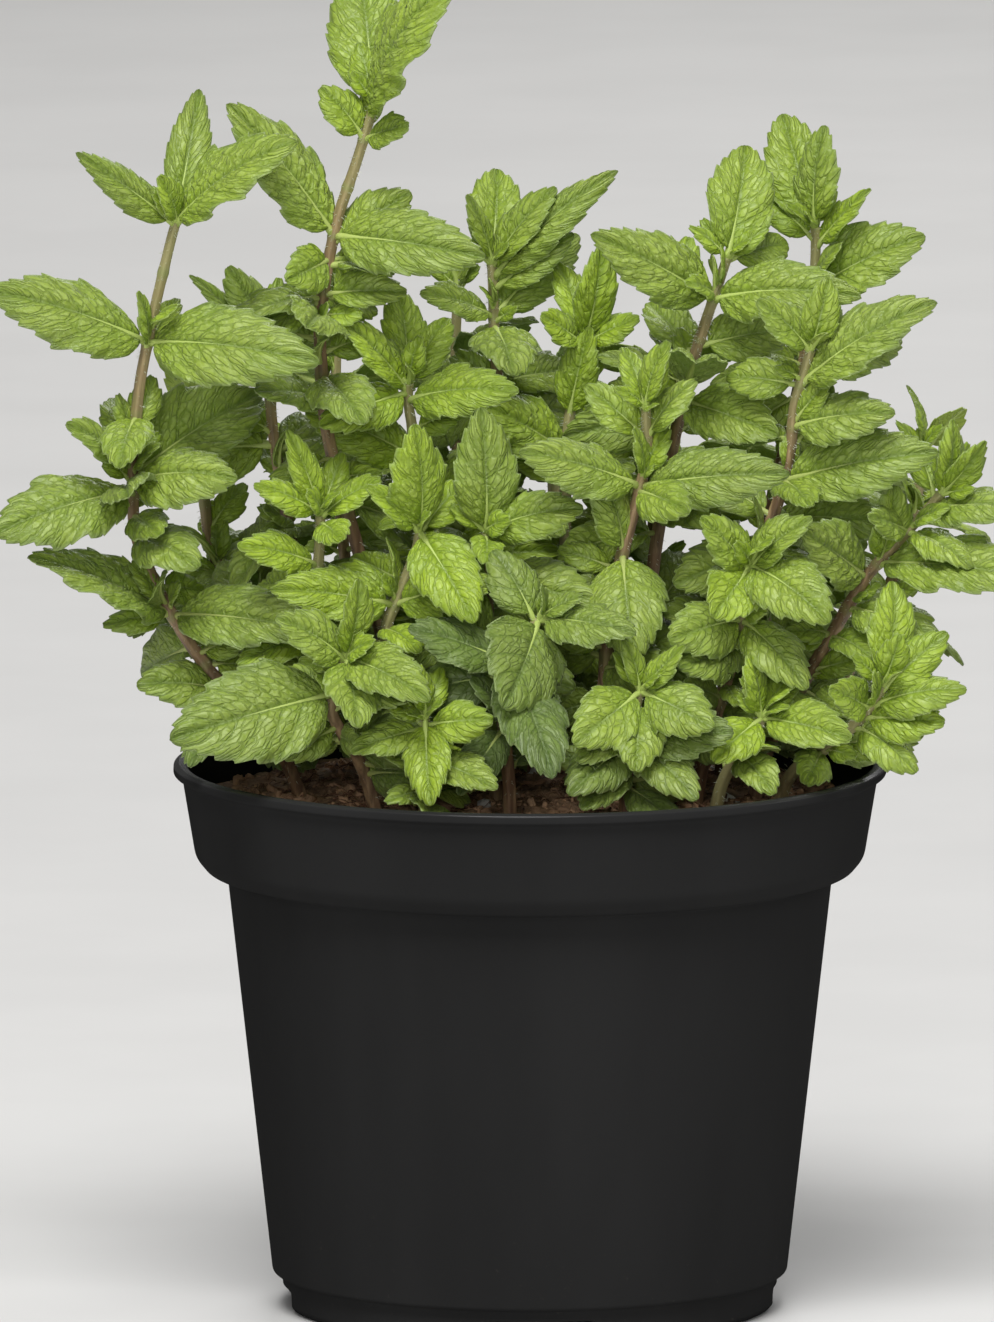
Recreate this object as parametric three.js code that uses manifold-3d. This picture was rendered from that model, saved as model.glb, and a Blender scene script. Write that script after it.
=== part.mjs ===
// A potted mint: a black nursery pot, its potting mix and the leafy stems that grow out of it.
// Millimetres, +Z up, the front at -Y. The origin is the middle of the pad under the pot.
import * as THREE from "three";
import { mergeVertices } from "three/addons/utils/BufferGeometryUtils.js";
import Module from "manifold-3d";

const wasm = await Module();
wasm.setup();

// The pot.
const POT_HEIGHT = 100;
const LIP_R = 65; // outside of the rolled lip
const COLLAR_TOP_R = 63.4;
const COLLAR_FOOT_R = 61;
const COLLAR_FOOT_Z = 80.5;
const BODY_TOP_R = 55.2;
const BODY_FOOT_R = 47;
const FOOT_R = 45; // below the step
const STEP_Z = 6;
const WALL = 1.2;
const FLOOR_UNDER = 3.2; // the floor stands clear of the ground
const FLOOR_TOP = 4.6;
const PAD_R = 13; // the middle of the floor comes down to the ground
const POT_SIDES = 32;
const NOTCHES = 4; // drain notches in the foot ring
const NOTCH_WIDTH = 20;
const NOTCH_TOP = 3; // above the ground
const NOTCH_TURN = 2.5; // degrees, of the front notch
const DRAIN_R = 4;
const DRAIN_RING_R = 33;

// The potting mix.
const GAP = 0.35; // between pieces that touch
const SOIL_Z = 94;
const SOIL_R = 60.5; // at the top, where it meets the collar
const LEAN_Z = 90.5; // stems lean back from this height up

// The foliage.
const VIEW_TILT = THREE.MathUtils.degToRad(8.3); // stems and tips are laid out as seen from here
const BLADE = 0.7; // thickness
const OWN_OVERLAP = 1; // mm3 that two leaves of a stem may share at their roots
const PROBE = 1.3; // thickness of the blade that tests for clear room
const STEM_FOOT = 1.5; // half the diagonal of the square stem, at the mix
const STEM_TOP = 0.95; // and at its tip
const STEM_DEPTH = 12; // below the surface of the mix
const PETIOLE = 2.1; // from the stem's middle to the foot of the blade
const ROOT = 0.55; // how far the root reaches past the stem's middle, as a share of half the stem
const HIGHEST = 0.985; // share of the stem where its last leaves start
const PAIR_STEP = 0.14; // between the crowded pairs of a joint, as a share of the way to the joint below
const LONGER = 1.08; // true lengths over the lengths seen
const WIDER = 1.12; // true widths over the widths seen
const FRONT = new THREE.Vector3(0, -1.1, 0); // most leaves in front turn their upper face this way
const BARE = 0.34; // share of a stem at the back that is below its leaves

const COLOURS = {
  pot: new THREE.MeshStandardMaterial({ color: 0x1c1c1c, roughness: 0.42, metalness: 0 }),
  soil: new THREE.MeshStandardMaterial({ color: 0x4a3426, roughness: 0.95, metalness: 0 }),
  old: new THREE.MeshStandardMaterial({ color: 0x5a7a45, roughness: 0.6, metalness: 0 }),
  full: new THREE.MeshStandardMaterial({ color: 0x7f9f4b, roughness: 0.55, metalness: 0 }),
  young: new THREE.MeshStandardMaterial({ color: 0x9ab44a, roughness: 0.5, metalness: 0 }),
};

// ---------------------------------------------------------------- solids

function solidFrom(positions, indices) {
  const solid = new wasm.Manifold(
    new wasm.Mesh({
      numProp: 3,
      vertProperties: new Float32Array(positions),
      triVerts: new Uint32Array(indices),
    }),
  );
  return solid;
}

function solidOf(geometry) {
  const bare = geometry.clone();
  bare.deleteAttribute("normal");
  bare.deleteAttribute("uv");
  const merged = mergeVertices(bare, 1e-4);
  return solidFrom(merged.attributes.position.array, merged.index.array);
}

function meshOf(solid, name, material) {
  const { vertProperties, triVerts } = solid.getMesh();
  const geometry = new THREE.BufferGeometry();
  geometry.setAttribute("position", new THREE.BufferAttribute(new Float32Array(vertProperties), 3));
  geometry.setIndex(new THREE.BufferAttribute(new Uint32Array(triVerts), 1));
  geometry.computeVertexNormals();
  const mesh = new THREE.Mesh(geometry, material);
  mesh.name = name;
  return mesh;
}

// A lathe about +Z through points of [radius, height].
function lathe(profile, sides) {
  const points = profile.map(([r, z]) => new THREE.Vector2(r, z));
  return new THREE.LatheGeometry(points, sides).rotateX(Math.PI / 2);
}

const onAxis = (r, degrees, z) => {
  const a = THREE.MathUtils.degToRad(degrees);
  return new THREE.Vector3(r * Math.cos(a), r * Math.sin(a), z);
};

// ---------------------------------------------------------------- pot

function potProfile() {
  const inFoot = FOOT_R - 2.2;
  return [
    [0, 0], [PAD_R, 0], [PAD_R + 1.2, FLOOR_UNDER], [inFoot - 0.4, FLOOR_UNDER],
    [inFoot + 0.3, 0], [FOOT_R - 0.8, 0], [FOOT_R, 1], [FOOT_R + 0.2, STEP_Z - 0.2],
    [BODY_FOOT_R, STEP_Z + 0.4], [BODY_TOP_R, COLLAR_FOOT_Z - 0.8],
    [COLLAR_FOOT_R - 2, COLLAR_FOOT_Z], [COLLAR_FOOT_R, COLLAR_FOOT_Z + 2.4],
    [COLLAR_TOP_R, POT_HEIGHT - 2.6], [LIP_R, POT_HEIGHT - 1.9], [LIP_R - 0.5, POT_HEIGHT - 0.4],
    [LIP_R - 1.6, POT_HEIGHT], [LIP_R - 3.1, POT_HEIGHT - 0.6],
    [COLLAR_FOOT_R - WALL, COLLAR_FOOT_Z + 2.8], [COLLAR_FOOT_R - WALL - 1.4, COLLAR_FOOT_Z + WALL],
    [BODY_TOP_R - WALL, COLLAR_FOOT_Z + 0.4], [FOOT_R - 0.9, STEP_Z + 1.4],
    [FOOT_R - 2.6, FLOOR_TOP], [0, FLOOR_TOP],
  ];
}

function notchCutter(turn) {
  const deep = 14, tall = 10;
  const bar = new THREE.BoxGeometry(deep, NOTCH_WIDTH, tall);
  bar.translate(FOOT_R - 1, 0, NOTCH_TOP - tall / 2);
  return solidOf(bar.rotateZ(THREE.MathUtils.degToRad(turn)));
}

function drainCutter(turn) {
  const bar = new THREE.CylinderGeometry(DRAIN_R, DRAIN_R, 20, 8).rotateX(Math.PI / 2);
  const at = onAxis(DRAIN_RING_R, turn, 0);
  return solidOf(bar.translate(at.x, at.y, 0));
}

function makePot() {
  let pot = solidOf(lathe(potProfile(), POT_SIDES));
  for (let i = 0; i < NOTCHES; i++) {
    const turn = -90 + NOTCH_TURN + (i * 360) / NOTCHES;
    pot = pot.subtract(notchCutter(turn)).subtract(drainCutter(turn));
  }
  return pot;
}

// ---------------------------------------------------------------- seeded draws and places

// Numbers from 0 to 1, the same for the same seed, so every run grows the same plant.
function draws(seed) {
  let state = (seed * 7919 + 101) % 2147483647;
  return () => {
    state = (state * 16807) % 2147483647;
    return state / 2147483647;
  };
}

// A place from how far right it is seen, how high it is seen and how far back it lies.
function seen(x, v, y) {
  return new THREE.Vector3(x, y, (v - y * Math.sin(VIEW_TILT)) / Math.cos(VIEW_TILT));
}

// The height of the mix at a point: a low mound with coarse crumbs.
function soilHeight(x, y) {
  const r = Math.hypot(x, y);
  const crumbs = Math.sin(x * 0.55 + 1.3) * Math.cos(y * 0.47) + Math.sin(x * 0.21 - y * 0.33);
  return SOIL_Z + 1.2 - (r / SOIL_R) ** 2 * 2.2 + crumbs * 0.45;
}

// ---------------------------------------------------------------- stems

function stemCurve(stem) {
  const [footX, footY] = stem.foot;
  const ground = soilHeight(footX, footY);
  const points = [
    new THREE.Vector3(footX, footY, ground - STEM_DEPTH),
    new THREE.Vector3(footX, footY, ground),
    ...stem.path.map(([x, v, y]) => seen(x, v, y + (stem.lean ?? 0) * (v - LEAN_Z) / 100)),
  ];
  return runsOf(new THREE.CatmullRomCurve3(points, false, "catmullrom", 0.5));
}

// The stem as straight runs, from halfway between two joints to halfway between the next two.
// The first run starts in the mix.
function runsOf(curve) {
  const last = curve.points.length - 1;
  const shares = [0, ...curve.points.slice(2).map((_, i) => (i + 1.5) / last), 1];
  const middles = shares.map((t) => curve.getPoint(t));
  const place = (t) => {
    const i = Math.max(shares.findLastIndex((share, j) => j + 1 < shares.length && share <= t), 0);
    return [middles[i], middles[i + 1], (t - shares[i]) / (shares[i + 1] - shares[i])];
  };
  return {
    last, shares,
    point: (t) => {
      const [a, b, part] = place(t);
      return a.clone().lerp(b, part);
    },
    along: (t) => {
      const [a, b] = place(t);
      return b.clone().sub(a).normalize();
    },
    tangent: (t) => curve.getTangent(t),
  };
}

// Half the diagonal of the square stem at a share t of its curve.
const stemHalf = (t) => STEM_FOOT + (STEM_TOP - STEM_FOOT) * t;

// Four corners of the stem there, grown by a margin.
function stemRing(curve, t, margin) {
  const at = curve.point(t);
  const along = curve.tangent(t);
  const right = new THREE.Vector3(1, 0, 0).addScaledVector(along, -along.x).normalize();
  const back = new THREE.Vector3().crossVectors(along, right);
  const corner = (stemHalf(t) + margin) * Math.SQRT1_2;
  return [[1, 1], [-1, 1], [-1, -1], [1, -1]].map(([a, b]) =>
    at.clone().addScaledVector(right, a * corner).addScaledVector(back, b * corner),
  );
}

function tube(rings) {
  const positions = [];
  const indices = [];
  rings.forEach((ring) => ring.forEach((p) => positions.push(p.x, p.y, p.z)));
  for (let i = 0; i + 1 < rings.length; i++) {
    for (let j = 0; j < 4; j++) {
      const a = 4 * i + j, b = 4 * i + ((j + 1) % 4);
      indices.push(a, b, b + 4, a, b + 4, a + 4);
    }
  }
  const top = 4 * (rings.length - 1);
  indices.push(0, 2, 1, 0, 3, 2, top, top + 1, top + 2, top, top + 2, top + 3);
  return solidFrom(positions, indices);
}

function stemTube(curve, margin) {
  return tube(curve.shares.map((t) => stemRing(curve, t, margin)));
}

// The plain hole that a stem stands in.
function stemHole(curve) {
  const rings = [0, 1.3 / curve.last].map((t) => stemRing(curve, t, 3 * GAP));
  rings[0].forEach((p) => (p.z -= GAP));
  return tube(rings);
}

// ---------------------------------------------------------------- leaves

// Side points of a blade, as [share of the blade, factor on its width], and points on its rib.
// The margin is cut into teeth that point forward.
const KINDS = {
  great: { side: [[0.04, 0.68], [0.3, 1.05], [0.35, 0.93], [0.6, 1.08], [0.66, 0.92]], rib: [0.3, 0.66] },
  large: { side: [[0.04, 0.68], [0.4, 1.06], [0.46, 0.92], [0.74, 1.1]], rib: [0.45] },
  middle: { side: [[0.05, 0.68], [0.42, 1.04], [0.74, 1.1]], rib: [0.45] },
  small: { side: [[0.12, 0.75], [0.58, 1.02]], rib: [0.4] },
};

// Half the width of an egg-shaped blade at a share s of its length.
const outline = (s) => 2.435 * s ** 0.5 * (1 - s) ** 0.85;

// Joins two rows of points that share their last one, with triangles in order along the rib.
function strip(edge, rib, shares) {
  const faces = [];
  let e = 0, r = 0;
  while (e + 2 < edge.length || r + 2 < rib.length) {
    const edgeNext = e + 2 < edge.length &&
      (r + 2 === rib.length || shares[edge[e + 1]] <= shares[rib[r + 1]]);
    if (edgeNext) faces.push([edge[e], edge[++e], rib[r]]);
    else faces.push([edge[e], rib[r + 1], rib[r++]]);
  }
  faces.push([edge[e], edge[e + 1], rib[r]]);
  return faces;
}

// The shares and half widths of a blade's points, and its triangles. Point 0 is its root.
function bladePlan({ side, rib }) {
  const shares = [0], across = [0];
  const put = (s, a) => {
    shares.push(s);
    across.push(a);
    return shares.length - 1;
  };
  const middle = rib.map((s) => put(s, 0));
  const [right, left] = [1, -1].map((hand) => side.map(([s, f]) => put(s, hand * outline(s) * f)));
  const tip = put(1, 0);
  const halves = [right, left].map((row) => strip([...row, tip], [...middle, tip], shares));
  const faces = [
    [0, right[0], left[0]], [right[0], middle[0], left[0]],
    ...halves[0], ...halves[1].map(([a, b, c]) => [a, c, b]),
  ];
  return { shares, across, faces, tip, rim: [0, ...right, tip, ...left.toReversed()] };
}

const PLANS = Object.fromEntries(Object.entries(KINDS).map(([name, kind]) => [name, bladePlan(kind)]));
const planFor = (length) =>
  length >= 29.5 ? PLANS.great : length >= 18 ? PLANS.large : length >= 12 ? PLANS.middle : PLANS.small;

// A point of the blade: a bow over the chord, folded up along its rib.
function bladePoint(leaf, share, across, up) {
  const phi = leaf.bow * (0.5 - share);
  const radius = leaf.length / (2 * Math.sin(leaf.bow / 2));
  const along = radius * (Math.sin(leaf.bow / 2) - Math.sin(phi));
  const height = radius * (Math.cos(phi) - Math.cos(leaf.bow / 2));
  const lift = Math.abs(across) * Math.sin(leaf.fold) + up;
  return leaf.base.clone()
    .addScaledVector(leaf.chord, along - lift * Math.sin(phi))
    .addScaledVector(leaf.normal, height + lift * Math.cos(phi))
    .addScaledVector(leaf.side, across * Math.cos(leaf.fold));
}

// The root is one point inside the stem. The other points lie in pairs on the two faces.
function blade(leaf, thickness, spread) {
  const plan = planFor(leaf.fullLength);
  const root = leaf.base.clone().addScaledVector(leaf.chord, -leaf.root);
  const stalk = Math.min(PETIOLE / leaf.length, 0.3);
  const positions = [root.x, root.y, root.z];
  for (const face of [1, -1]) {
    for (let i = 1; i < plan.shares.length; i++) {
      const across = plan.across[i] * (leaf.width / 2) * spread;
      const share = stalk + plan.shares[i] * (1 - stalk);
      const p = bladePoint(leaf, share, across, (face * thickness) / 2);
      positions.push(p.x, p.y, p.z);
    }
  }
  const under = (i) => (i ? i + plan.shares.length - 1 : 0);
  const indices = [];
  plan.faces.forEach(([a, b, c]) => indices.push(a, b, c, under(a), under(c), under(b)));
  plan.rim.forEach((a, i) => {
    const b = plan.rim[(i + 1) % plan.rim.length];
    if (a) indices.push(a, under(a), under(b));
    if (b) indices.push(a, under(b), b);
  });
  return solidFrom(positions, indices);
}

// Small changes that a leaf makes to find clear room: turn, lift, and share of its size.
const TRIES = [
  [0, 0, 1], [10, 0, 1], [-10, 0, 1], [0, 10, 1], [0, -10, 1], [16, 9, 0.95], [-16, 9, 0.95],
  [16, -11, 0.95], [-16, -11, 0.95], [26, 0, 0.88], [-26, 0, 0.88], [0, 22, 0.88], [0, -22, 0.88],
  [0, 0, 0.78], [22, 16, 0.78], [-22, 16, 0.78], [38, 0, 0.7], [-38, 0, 0.7], [0, 0, 0.62],
  [30, 24, 0.6], [-30, 24, 0.6], [50, 0, 0.55], [-50, 0, 0.55], [0, 0, 0.45],
];

// The leaf on its stem: its chord, its faces turned to the light, its bow and its fold.
function leafOn(curve, spec, change) {
  const [turn, lift, size] = change;
  const t = Math.min(spec.at, HIGHEST);
  const base = curve.point(t);
  const stemDir = curve.along(t);
  let chord = spec.chord.clone().applyAxisAngle(stemDir, THREE.MathUtils.degToRad(turn));
  const hinge = new THREE.Vector3().crossVectors(chord, stemDir).normalize();
  chord = chord.applyAxisAngle(hinge, THREE.MathUtils.degToRad(lift));
  const spread = 1.25 - chord.dot(stemDir) ** 2;
  const light = stemDir.clone().addScaledVector(spec.open, spread);
  const normal = light.addScaledVector(chord, -light.dot(chord)).normalize();
  normal.applyAxisAngle(chord, spec.roll);
  const side = new THREE.Vector3().crossVectors(chord, normal);
  return {
    base, chord, normal, side,
    length: spec.length * size, fullLength: spec.length, width: spec.width * size,
    bow: spec.bow, fold: spec.fold, root: ROOT * stemHalf(t),
  };
}

// The chord that ends at a seen point, with its true length: forward of the stem or behind it.
function chordTo(base, tipX, tipV, length, forward) {
  const s = Math.sin(VIEW_TILT), c = Math.cos(VIEW_TILT);
  const a = tipX - base.x;
  const b = tipV - (base.z * c + base.y * s);
  const k = 1 + (s * s) / (c * c);
  const half = (b * s) / (c * c);
  const rest = a * a + (b * b) / (c * c) - length * length;
  const y = (half - forward * Math.sqrt(Math.max(half * half - k * rest, 0))) / k;
  return new THREE.Vector3(a, y, (b - y * s) / c);
}

// How far a leaf bows, folds along its rib and rolls on its stalk, in radians.
function sway(draw) {
  return { bow: 0.35 + draw() * 0.55, fold: 0.12 + draw() * 0.3, roll: (draw() - 0.5) * 0.5 };
}

// Leaves read one by one: [place on the stem, tip x, tip v, length, width, forward or back].
function readLeaves(stem, curve, draw) {
  const grown = {};
  return stem.leaves.map(([place, tipX, tipV, length, width, forward]) => {
    const before = grown[place] ?? 0;
    grown[place] = before + 1;
    const at = (place + 2 - PAIR_STEP * Math.floor(before / 2)) / curve.last;
    const base = curve.point(Math.min(at, HIGHEST));
    const chord = chordTo(base, tipX, tipV, length * LONGER, forward);
    const real = chord.length();
    return {
      at, chord: chord.normalize(), length: real, width: width * WIDER, open: FRONT, ...sway(draw),
    };
  });
}

// Opposite pairs, each a quarter turn on from the last, smaller and steeper towards the tip.
function grownLeaves(stem, curve, draw) {
  const specs = [];
  const { pairs, turn, size } = stem.grown;
  const outward = new THREE.Vector3(stem.foot[0], stem.foot[1], 0).normalize().multiplyScalar(0.6);
  for (let i = 0; i < pairs; i++) {
    const share = pairs > 1 ? i / (pairs - 1) : 1;
    const at = BARE + (1 - BARE) * share;
    const young = Math.max(0, (share - 0.55) / 0.45);
    for (const half of [0, 180]) {
      const degrees = turn + 90 * i + half + (draw() - 0.5) * 30;
      const lift = -12 + 22 * share + 48 * young ** 2 + (draw() - 0.5) * 22;
      const length = size * (0.86 + 0.3 * draw()) * (1 - 0.42 * young);
      const out = onAxis(1, degrees, 0);
      const along = curve.along(Math.min(at, HIGHEST));
      const flat = out.addScaledVector(along, -out.dot(along)).normalize();
      const a = THREE.MathUtils.degToRad(lift);
      const chord = flat.multiplyScalar(Math.cos(a)).addScaledVector(along, Math.sin(a)).normalize();
      const width = length * (0.52 + 0.12 * draw());
      specs.push({ at, chord, length, width, open: outward, ...sway(draw) });
    }
  }
  return specs;
}

// ---------------------------------------------------------------- the stems of this plant

// foot: where the stem leaves the mix. path: [x, height seen, depth] of its joints, upwards.
// lean: how much further back it comes for each 100 mm of height.
const STEMS = [
  {
    name: "left_tall", foot: [-38, 4], colour: "full", lean: -12,
    path: [[-52, 106, -8], [-59, 118, -8], [-65, 123.5, -8], [-70, 137, -8], [-73, 145, -8],
      [-71, 165, -7], [-70, 172, -6], [-66, 190, -5], [-64, 197, -5]],
    leaves: [[2, -91, 136, 29, 16, 1], [2, -38, 122, 29, 14, 1], [4, -97, 140, 27, 16, 1],
      [3.7, -67, 140, 13, 8, 1], [4.3, -84, 160, 17, 8, 1], [4.55, -76, 165, 15, 8, -1],
      [4.1, -53, 150, 22, 13, 1], [3.4, -60, 134, 18, 11, 1], [4.2, -49, 166, 31, 17, -1],
      [6, -98, 184, 31, 14, 1], [6, -38, 171, 33, 16, 1], [6, -71, 184, 12, 5, 1],
      [6, -64, 183, 13, 6, -1], [8, -82, 209, 23, 7, 1], [8, -42, 211, 27, 15, 1],
      [8, -60, 221, 25, 8, -1]],
  },
  {
    name: "centre_left_tall", foot: [-20, 4], colour: "full", lean: -6,
    path: [[-26, 120, 0], [-34, 146, -4], [-39, 170, -6], [-37, 185, -6], [-36, 194, -6],
      [-33, 203, -5], [-30, 212, -5], [-28, 219, -5]],
    leaves: [[4, -57, 214, 31, 15, 1], [4, -8, 190, 29, 13, 1], [6, -38, 221, 12, 8, 1],
      [6, -22, 214, 11, 7, 1], [7, -31, 243, 27, 14, -1], [6.5, -14, 240, 31, 16, 1],
      [7, -26, 229, 13, 7, 1], [2, -30, 160, 20, 12, 1],
      [1, -18, 140, 22, 13, -1]],
  },
  {
    name: "left_inner", foot: [-25, 14], colour: "full",
    path: [[-40, 122, 10], [-45, 150, 10], [-48, 165, 10], [-47, 176, 10]],
    leaves: [[3, -55, 189, 15, 8, 1], [2.6, -62, 187.5, 20, 6, 1], [3, -36, 187, 16, 9, 1],
      [2.6, -28, 176, 21, 11, 1], [3, -46, 188, 12, 6, -1], [1.4, -62, 160, 22, 13, -1],
      [1, -30, 150, 22, 12, 1], [0.6, -58, 138, 23, 13, -1]],
  },
  {
    name: "centre_tuft", foot: [-10, 14], colour: "young", lean: -16,
    path: [[-13, 120, 12], [-18, 145, 8], [-22, 160, 4], [-22, 168, 3]],
    leaves: [[2.7, -34, 179, 18, 9, 1], [3, -24, 185, 18, 9, -1], [2.8, -13, 181, 16, 9, -1],
      [2.5, -2, 166, 23, 11, 1], [3, -20, 176, 9, 5, 1], [2.7, -38, 163, 19, 10, 1],
      [2, -12, 162, 11, 6, 1], [1.2, -2, 150, 21, 12, 1], [1.2, -33, 148, 20, 12, -1]],
  },
  {
    name: "centre_light", foot: [-18, -15], colour: "young", lean: -20,
    path: [[-28, 113, -18], [-24, 129, -16], [-21, 135, -15], [-20, 141, -15]],
    leaves: [[1, -47, 130, 23, 11, 1], [1, -6, 131, 20, 11, 1], [3, -21, 160, 20, 12, 1],
      [3, -10, 124, 21, 12, 1], [3, -12, 150, 14, 8, -1], [3, -29, 148, 13, 7, 1],
      [0, -42, 117, 18, 11, 1], [0, -16, 118, 16, 10, -1]],
  },
  {
    name: "left_small", foot: [-25, -5], colour: "young", lean: -18,
    path: [[-38, 118, -13], [-38, 136, -12], [-38, 144, -12]],
    leaves: [[2, -44, 159, 16, 6, 1], [2, -50, 149, 14, 7, 1], [2, -34, 155, 12, 6, -1],
      [2, -27, 150, 13, 7, 1], [2, -34, 139, 11, 7, 1], [1, -53, 138, 17, 9, 1],
      [0, -55, 112, 19, 11, 1]],
  },
  {
    name: "centre_back", foot: [-1, 20], colour: "full",
    path: [[0, 120, 18], [-3, 145, 15], [-6, 165, 13], [-6.5, 181, 12], [-7, 190, 12]],
    leaves: [[3, -20, 184, 16, 8, 1], [3, 9, 195, 22, 11, -1], [3, -3, 169, 17, 12, 1],
      [4, -11.5, 202, 14, 6, 1], [4, -6, 207, 18, 11, -1], [4, 1, 206, 19, 9, 1],
      [3.6, 11, 211, 30, 9, 1], [3.4, 8, 195, 17, 8, 1], [2, 12, 160, 21, 12, -1],
      [2, -20, 157, 20, 11, -1], [1, 12, 138, 21, 12, 1]],
  },
  {
    name: "centre_upright", foot: [8, 12], colour: "young",
    path: [[7, 128, 10], [6, 152, 9], [8, 166, 8], [10, 176, 8]],
    leaves: [[3, 13, 193, 18, 8, 1], [3, 6, 190, 15, 7, -1], [3, 18, 182, 12, 7, 1],
      [3, 2, 180, 11, 7, 1], [1.6, 11, 178, 17, 8, 1], [2, 20, 162, 15, 9, -1],
      [1, -8, 158, 17, 10, 1], [1, 22, 146, 20, 11, -1]],
  },
  {
    name: "right_tall_near", foot: [20, 2], colour: "full", lean: -5,
    path: [[21, 122, 2], [24, 146, 1], [28, 166, 0], [31, 176, 0], [33, 182, 0], [36, 191, 0]],
    leaves: [[4, 11, 194.5, 26, 12, 1], [4, 60, 183, 28, 13, 1], [5, 39, 211, 21, 13, -1],
      [5, 29, 196, 9, 4, 1], [5, 43, 196, 9, 4, 1], [5, 47, 193, 15, 9, -1],
      [2, 45, 158, 21, 12, 1], [2, 13, 166, 19, 11, -1], [1, 34, 142, 16, 11, 1],
      [1, 40, 153, 20, 11, -1]],
  },
  {
    name: "right_tall_far", foot: [34, 16], colour: "full",
    path: [[39, 124, 17], [45, 150, 16], [50, 171, 15], [52, 185, 14], [52, 197, 13]],
    leaves: [[3, 72, 194.5, 22, 14, 1], [3, 36, 178, 18, 11, -1], [4, 46, 217, 21, 13, -1],
      [4, 57, 214, 18, 9, 1], [3.6, 62, 203, 15, 7, 1], [3.7, 43, 204, 13, 7, 1],
      [4, 53, 209, 12, 6, 1], [2, 68, 176, 21, 12, -1], [2, 33, 168, 20, 11, -1],
      [1, 64, 156, 22, 12, -1]],
  },
  {
    name: "right_front", foot: [27, -5], colour: "full", lean: -16,
    path: [[34, 120, -8], [41, 137, -8], [47, 150, -7], [47, 160, -6], [49, 167, -6], [51, 174, -6]],
    leaves: [[5, 52, 193, 21, 14, -1], [5, 60, 186, 15, 8, 1], [5, 43, 184, 14, 8, 1],
      [4, 74, 183, 28, 13, 1], [3, 66, 162, 20, 11, 1], [4, 37, 169, 14, 9, -1],
      [2, 74, 155, 28, 13, 1], [2, 54, 142, 15, 9, 1], [1, 26, 131, 18, 11, 1]],
  },
  {
    name: "centre_right", foot: [12, -12], colour: "full", lean: -20,
    path: [[14, 120, -13], [16, 137, -13], [21, 149, -11], [21, 158, -10], [21, 163, -10]],
    leaves: [[1, 18.5, 117, 22, 14, 1], [1, 12, 152, 16, 10, 1], [2, 47, 151, 27, 12, 1],
      [2, -2, 155, 24, 11, 1], [4, 17, 174, 12, 6, -1], [4, 25, 175, 13, 6, 1],
      [3, 30, 168, 13, 8, 1], [3, 10, 167, 13, 8, 1], [0, 30, 120, 17, 11, 1]],
  },
  {
    name: "centre_low", foot: [-6, -10], colour: "full", lean: -22,
    path: [[-7, 118, -10], [-8, 131, -10], [-8, 141, -10]],
    leaves: [[2, -6, 162, 22, 12, 1], [2, 7, 147, 19, 11, 1], [2, -18, 134, 15, 9, 1],
      [1, 10, 127, 21, 13, 1], [1, -20, 116, 20, 12, 1], [0, 8, 112, 18, 12, 1]],
  },
  {
    name: "right_leaning", foot: [38, -4], colour: "full", lean: -14,
    path: [[50, 113, -8], [58, 128, -9], [63, 135, -10], [68, 140, -10], [75, 148, -10]],
    leaves: [[4, 76.5, 161, 14, 7, 1], [4, 84, 158, 14, 7, 1], [3.8, 69, 158, 13, 7, -1],
      [3.6, 91, 145, 19, 10, 1], [4, 77, 153, 8, 5, 1], [2, 93, 131, 31, 14, 1],
      [2, 66, 149, 15, 9, 1], [3, 57, 148, 15, 8, 1], [3, 80, 134, 15, 9, 1],
      [1, 74, 121, 19, 11, 1], [0, 62, 104, 17, 11, -1]],
  },
  {
    name: "right_low", foot: [41, -13], colour: "young", lean: -12,
    path: [[54, 102, -24], [61, 107, -27], [64, 113, -28]],
    leaves: [[2, 64, 131, 18, 9, -1], [2, 67, 122, 10, 6, 1], [1.7, 75, 123, 15, 8, -1],
      [1.3, 79, 112, 17, 9, 1], [0.9, 75, 106, 15, 9, 1], [0.6, 70, 97, 14, 9, 1],
      [1.2, 54, 112, 12, 8, 1], [0, 51, 91, 13, 8, 1]],
  },
  {
    name: "right_middle", foot: [28, -14], colour: "full", lean: -20,
    path: [[36, 112, -19], [38, 125, -20], [40, 135, -20]],
    leaves: [[2, 54, 124, 20, 13, 1], [2, 33, 125, 14, 11, 1], [2, 29, 141, 14, 9, 1],
      [2, 51, 143, 15, 9, 1], [1, 50, 112, 18, 11, 1], [1, 23, 122, 17, 11, 1],
      [0, 28, 113, 12, 8, 1]],
  },
  {
    name: "front_left", foot: [-25, -25], colour: "full", lean: -20,
    path: [[-35, 104, -32], [-36, 111, -32], [-33, 118, -31]],
    leaves: [[1, -65, 103, 31, 18, 1], [1, -22, 110, 15, 9, 1], [2, -29, 101, 19, 11, 1],
      [2, -15, 105, 23, 12, 1], [2, -46, 125, 16, 10, 1], [2, -31, 132, 15, 8, 1]],
  },
  {
    name: "front_centre_left", foot: [-19, -37], colour: "young", lean: -16,
    path: [[-19, 101, -39], [-19, 107, -39]],
    leaves: [[1, -18, 91, 17, 9, 1], [0.6, -31, 100, 14, 8, 1], [0.7, -8, 106, 13, 8, 1],
      [1, -21, 117, 11, 6, 1], [1, -16, 116, 10, 5, -1], [0, -6, 94, 16, 9, 1]],
  },
  {
    name: "front_centre", foot: [-3, -28], colour: "old", lean: -20,
    path: [[-5, 106, -30], [-5, 117, -29], [2, 125, -28]],
    leaves: [[1, 4, 96, 27, 13, 1], [1, -21, 122, 19, 11, 1], [2, -3, 107, 20, 17, 1],
      [2, 19, 122, 19, 12, 1], [2, -8, 136, 15, 10, -1], [0, -13, 93, 17, 8, 1]],
  },
  {
    name: "front_right", foot: [17, -34], colour: "full", lean: -16,
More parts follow.
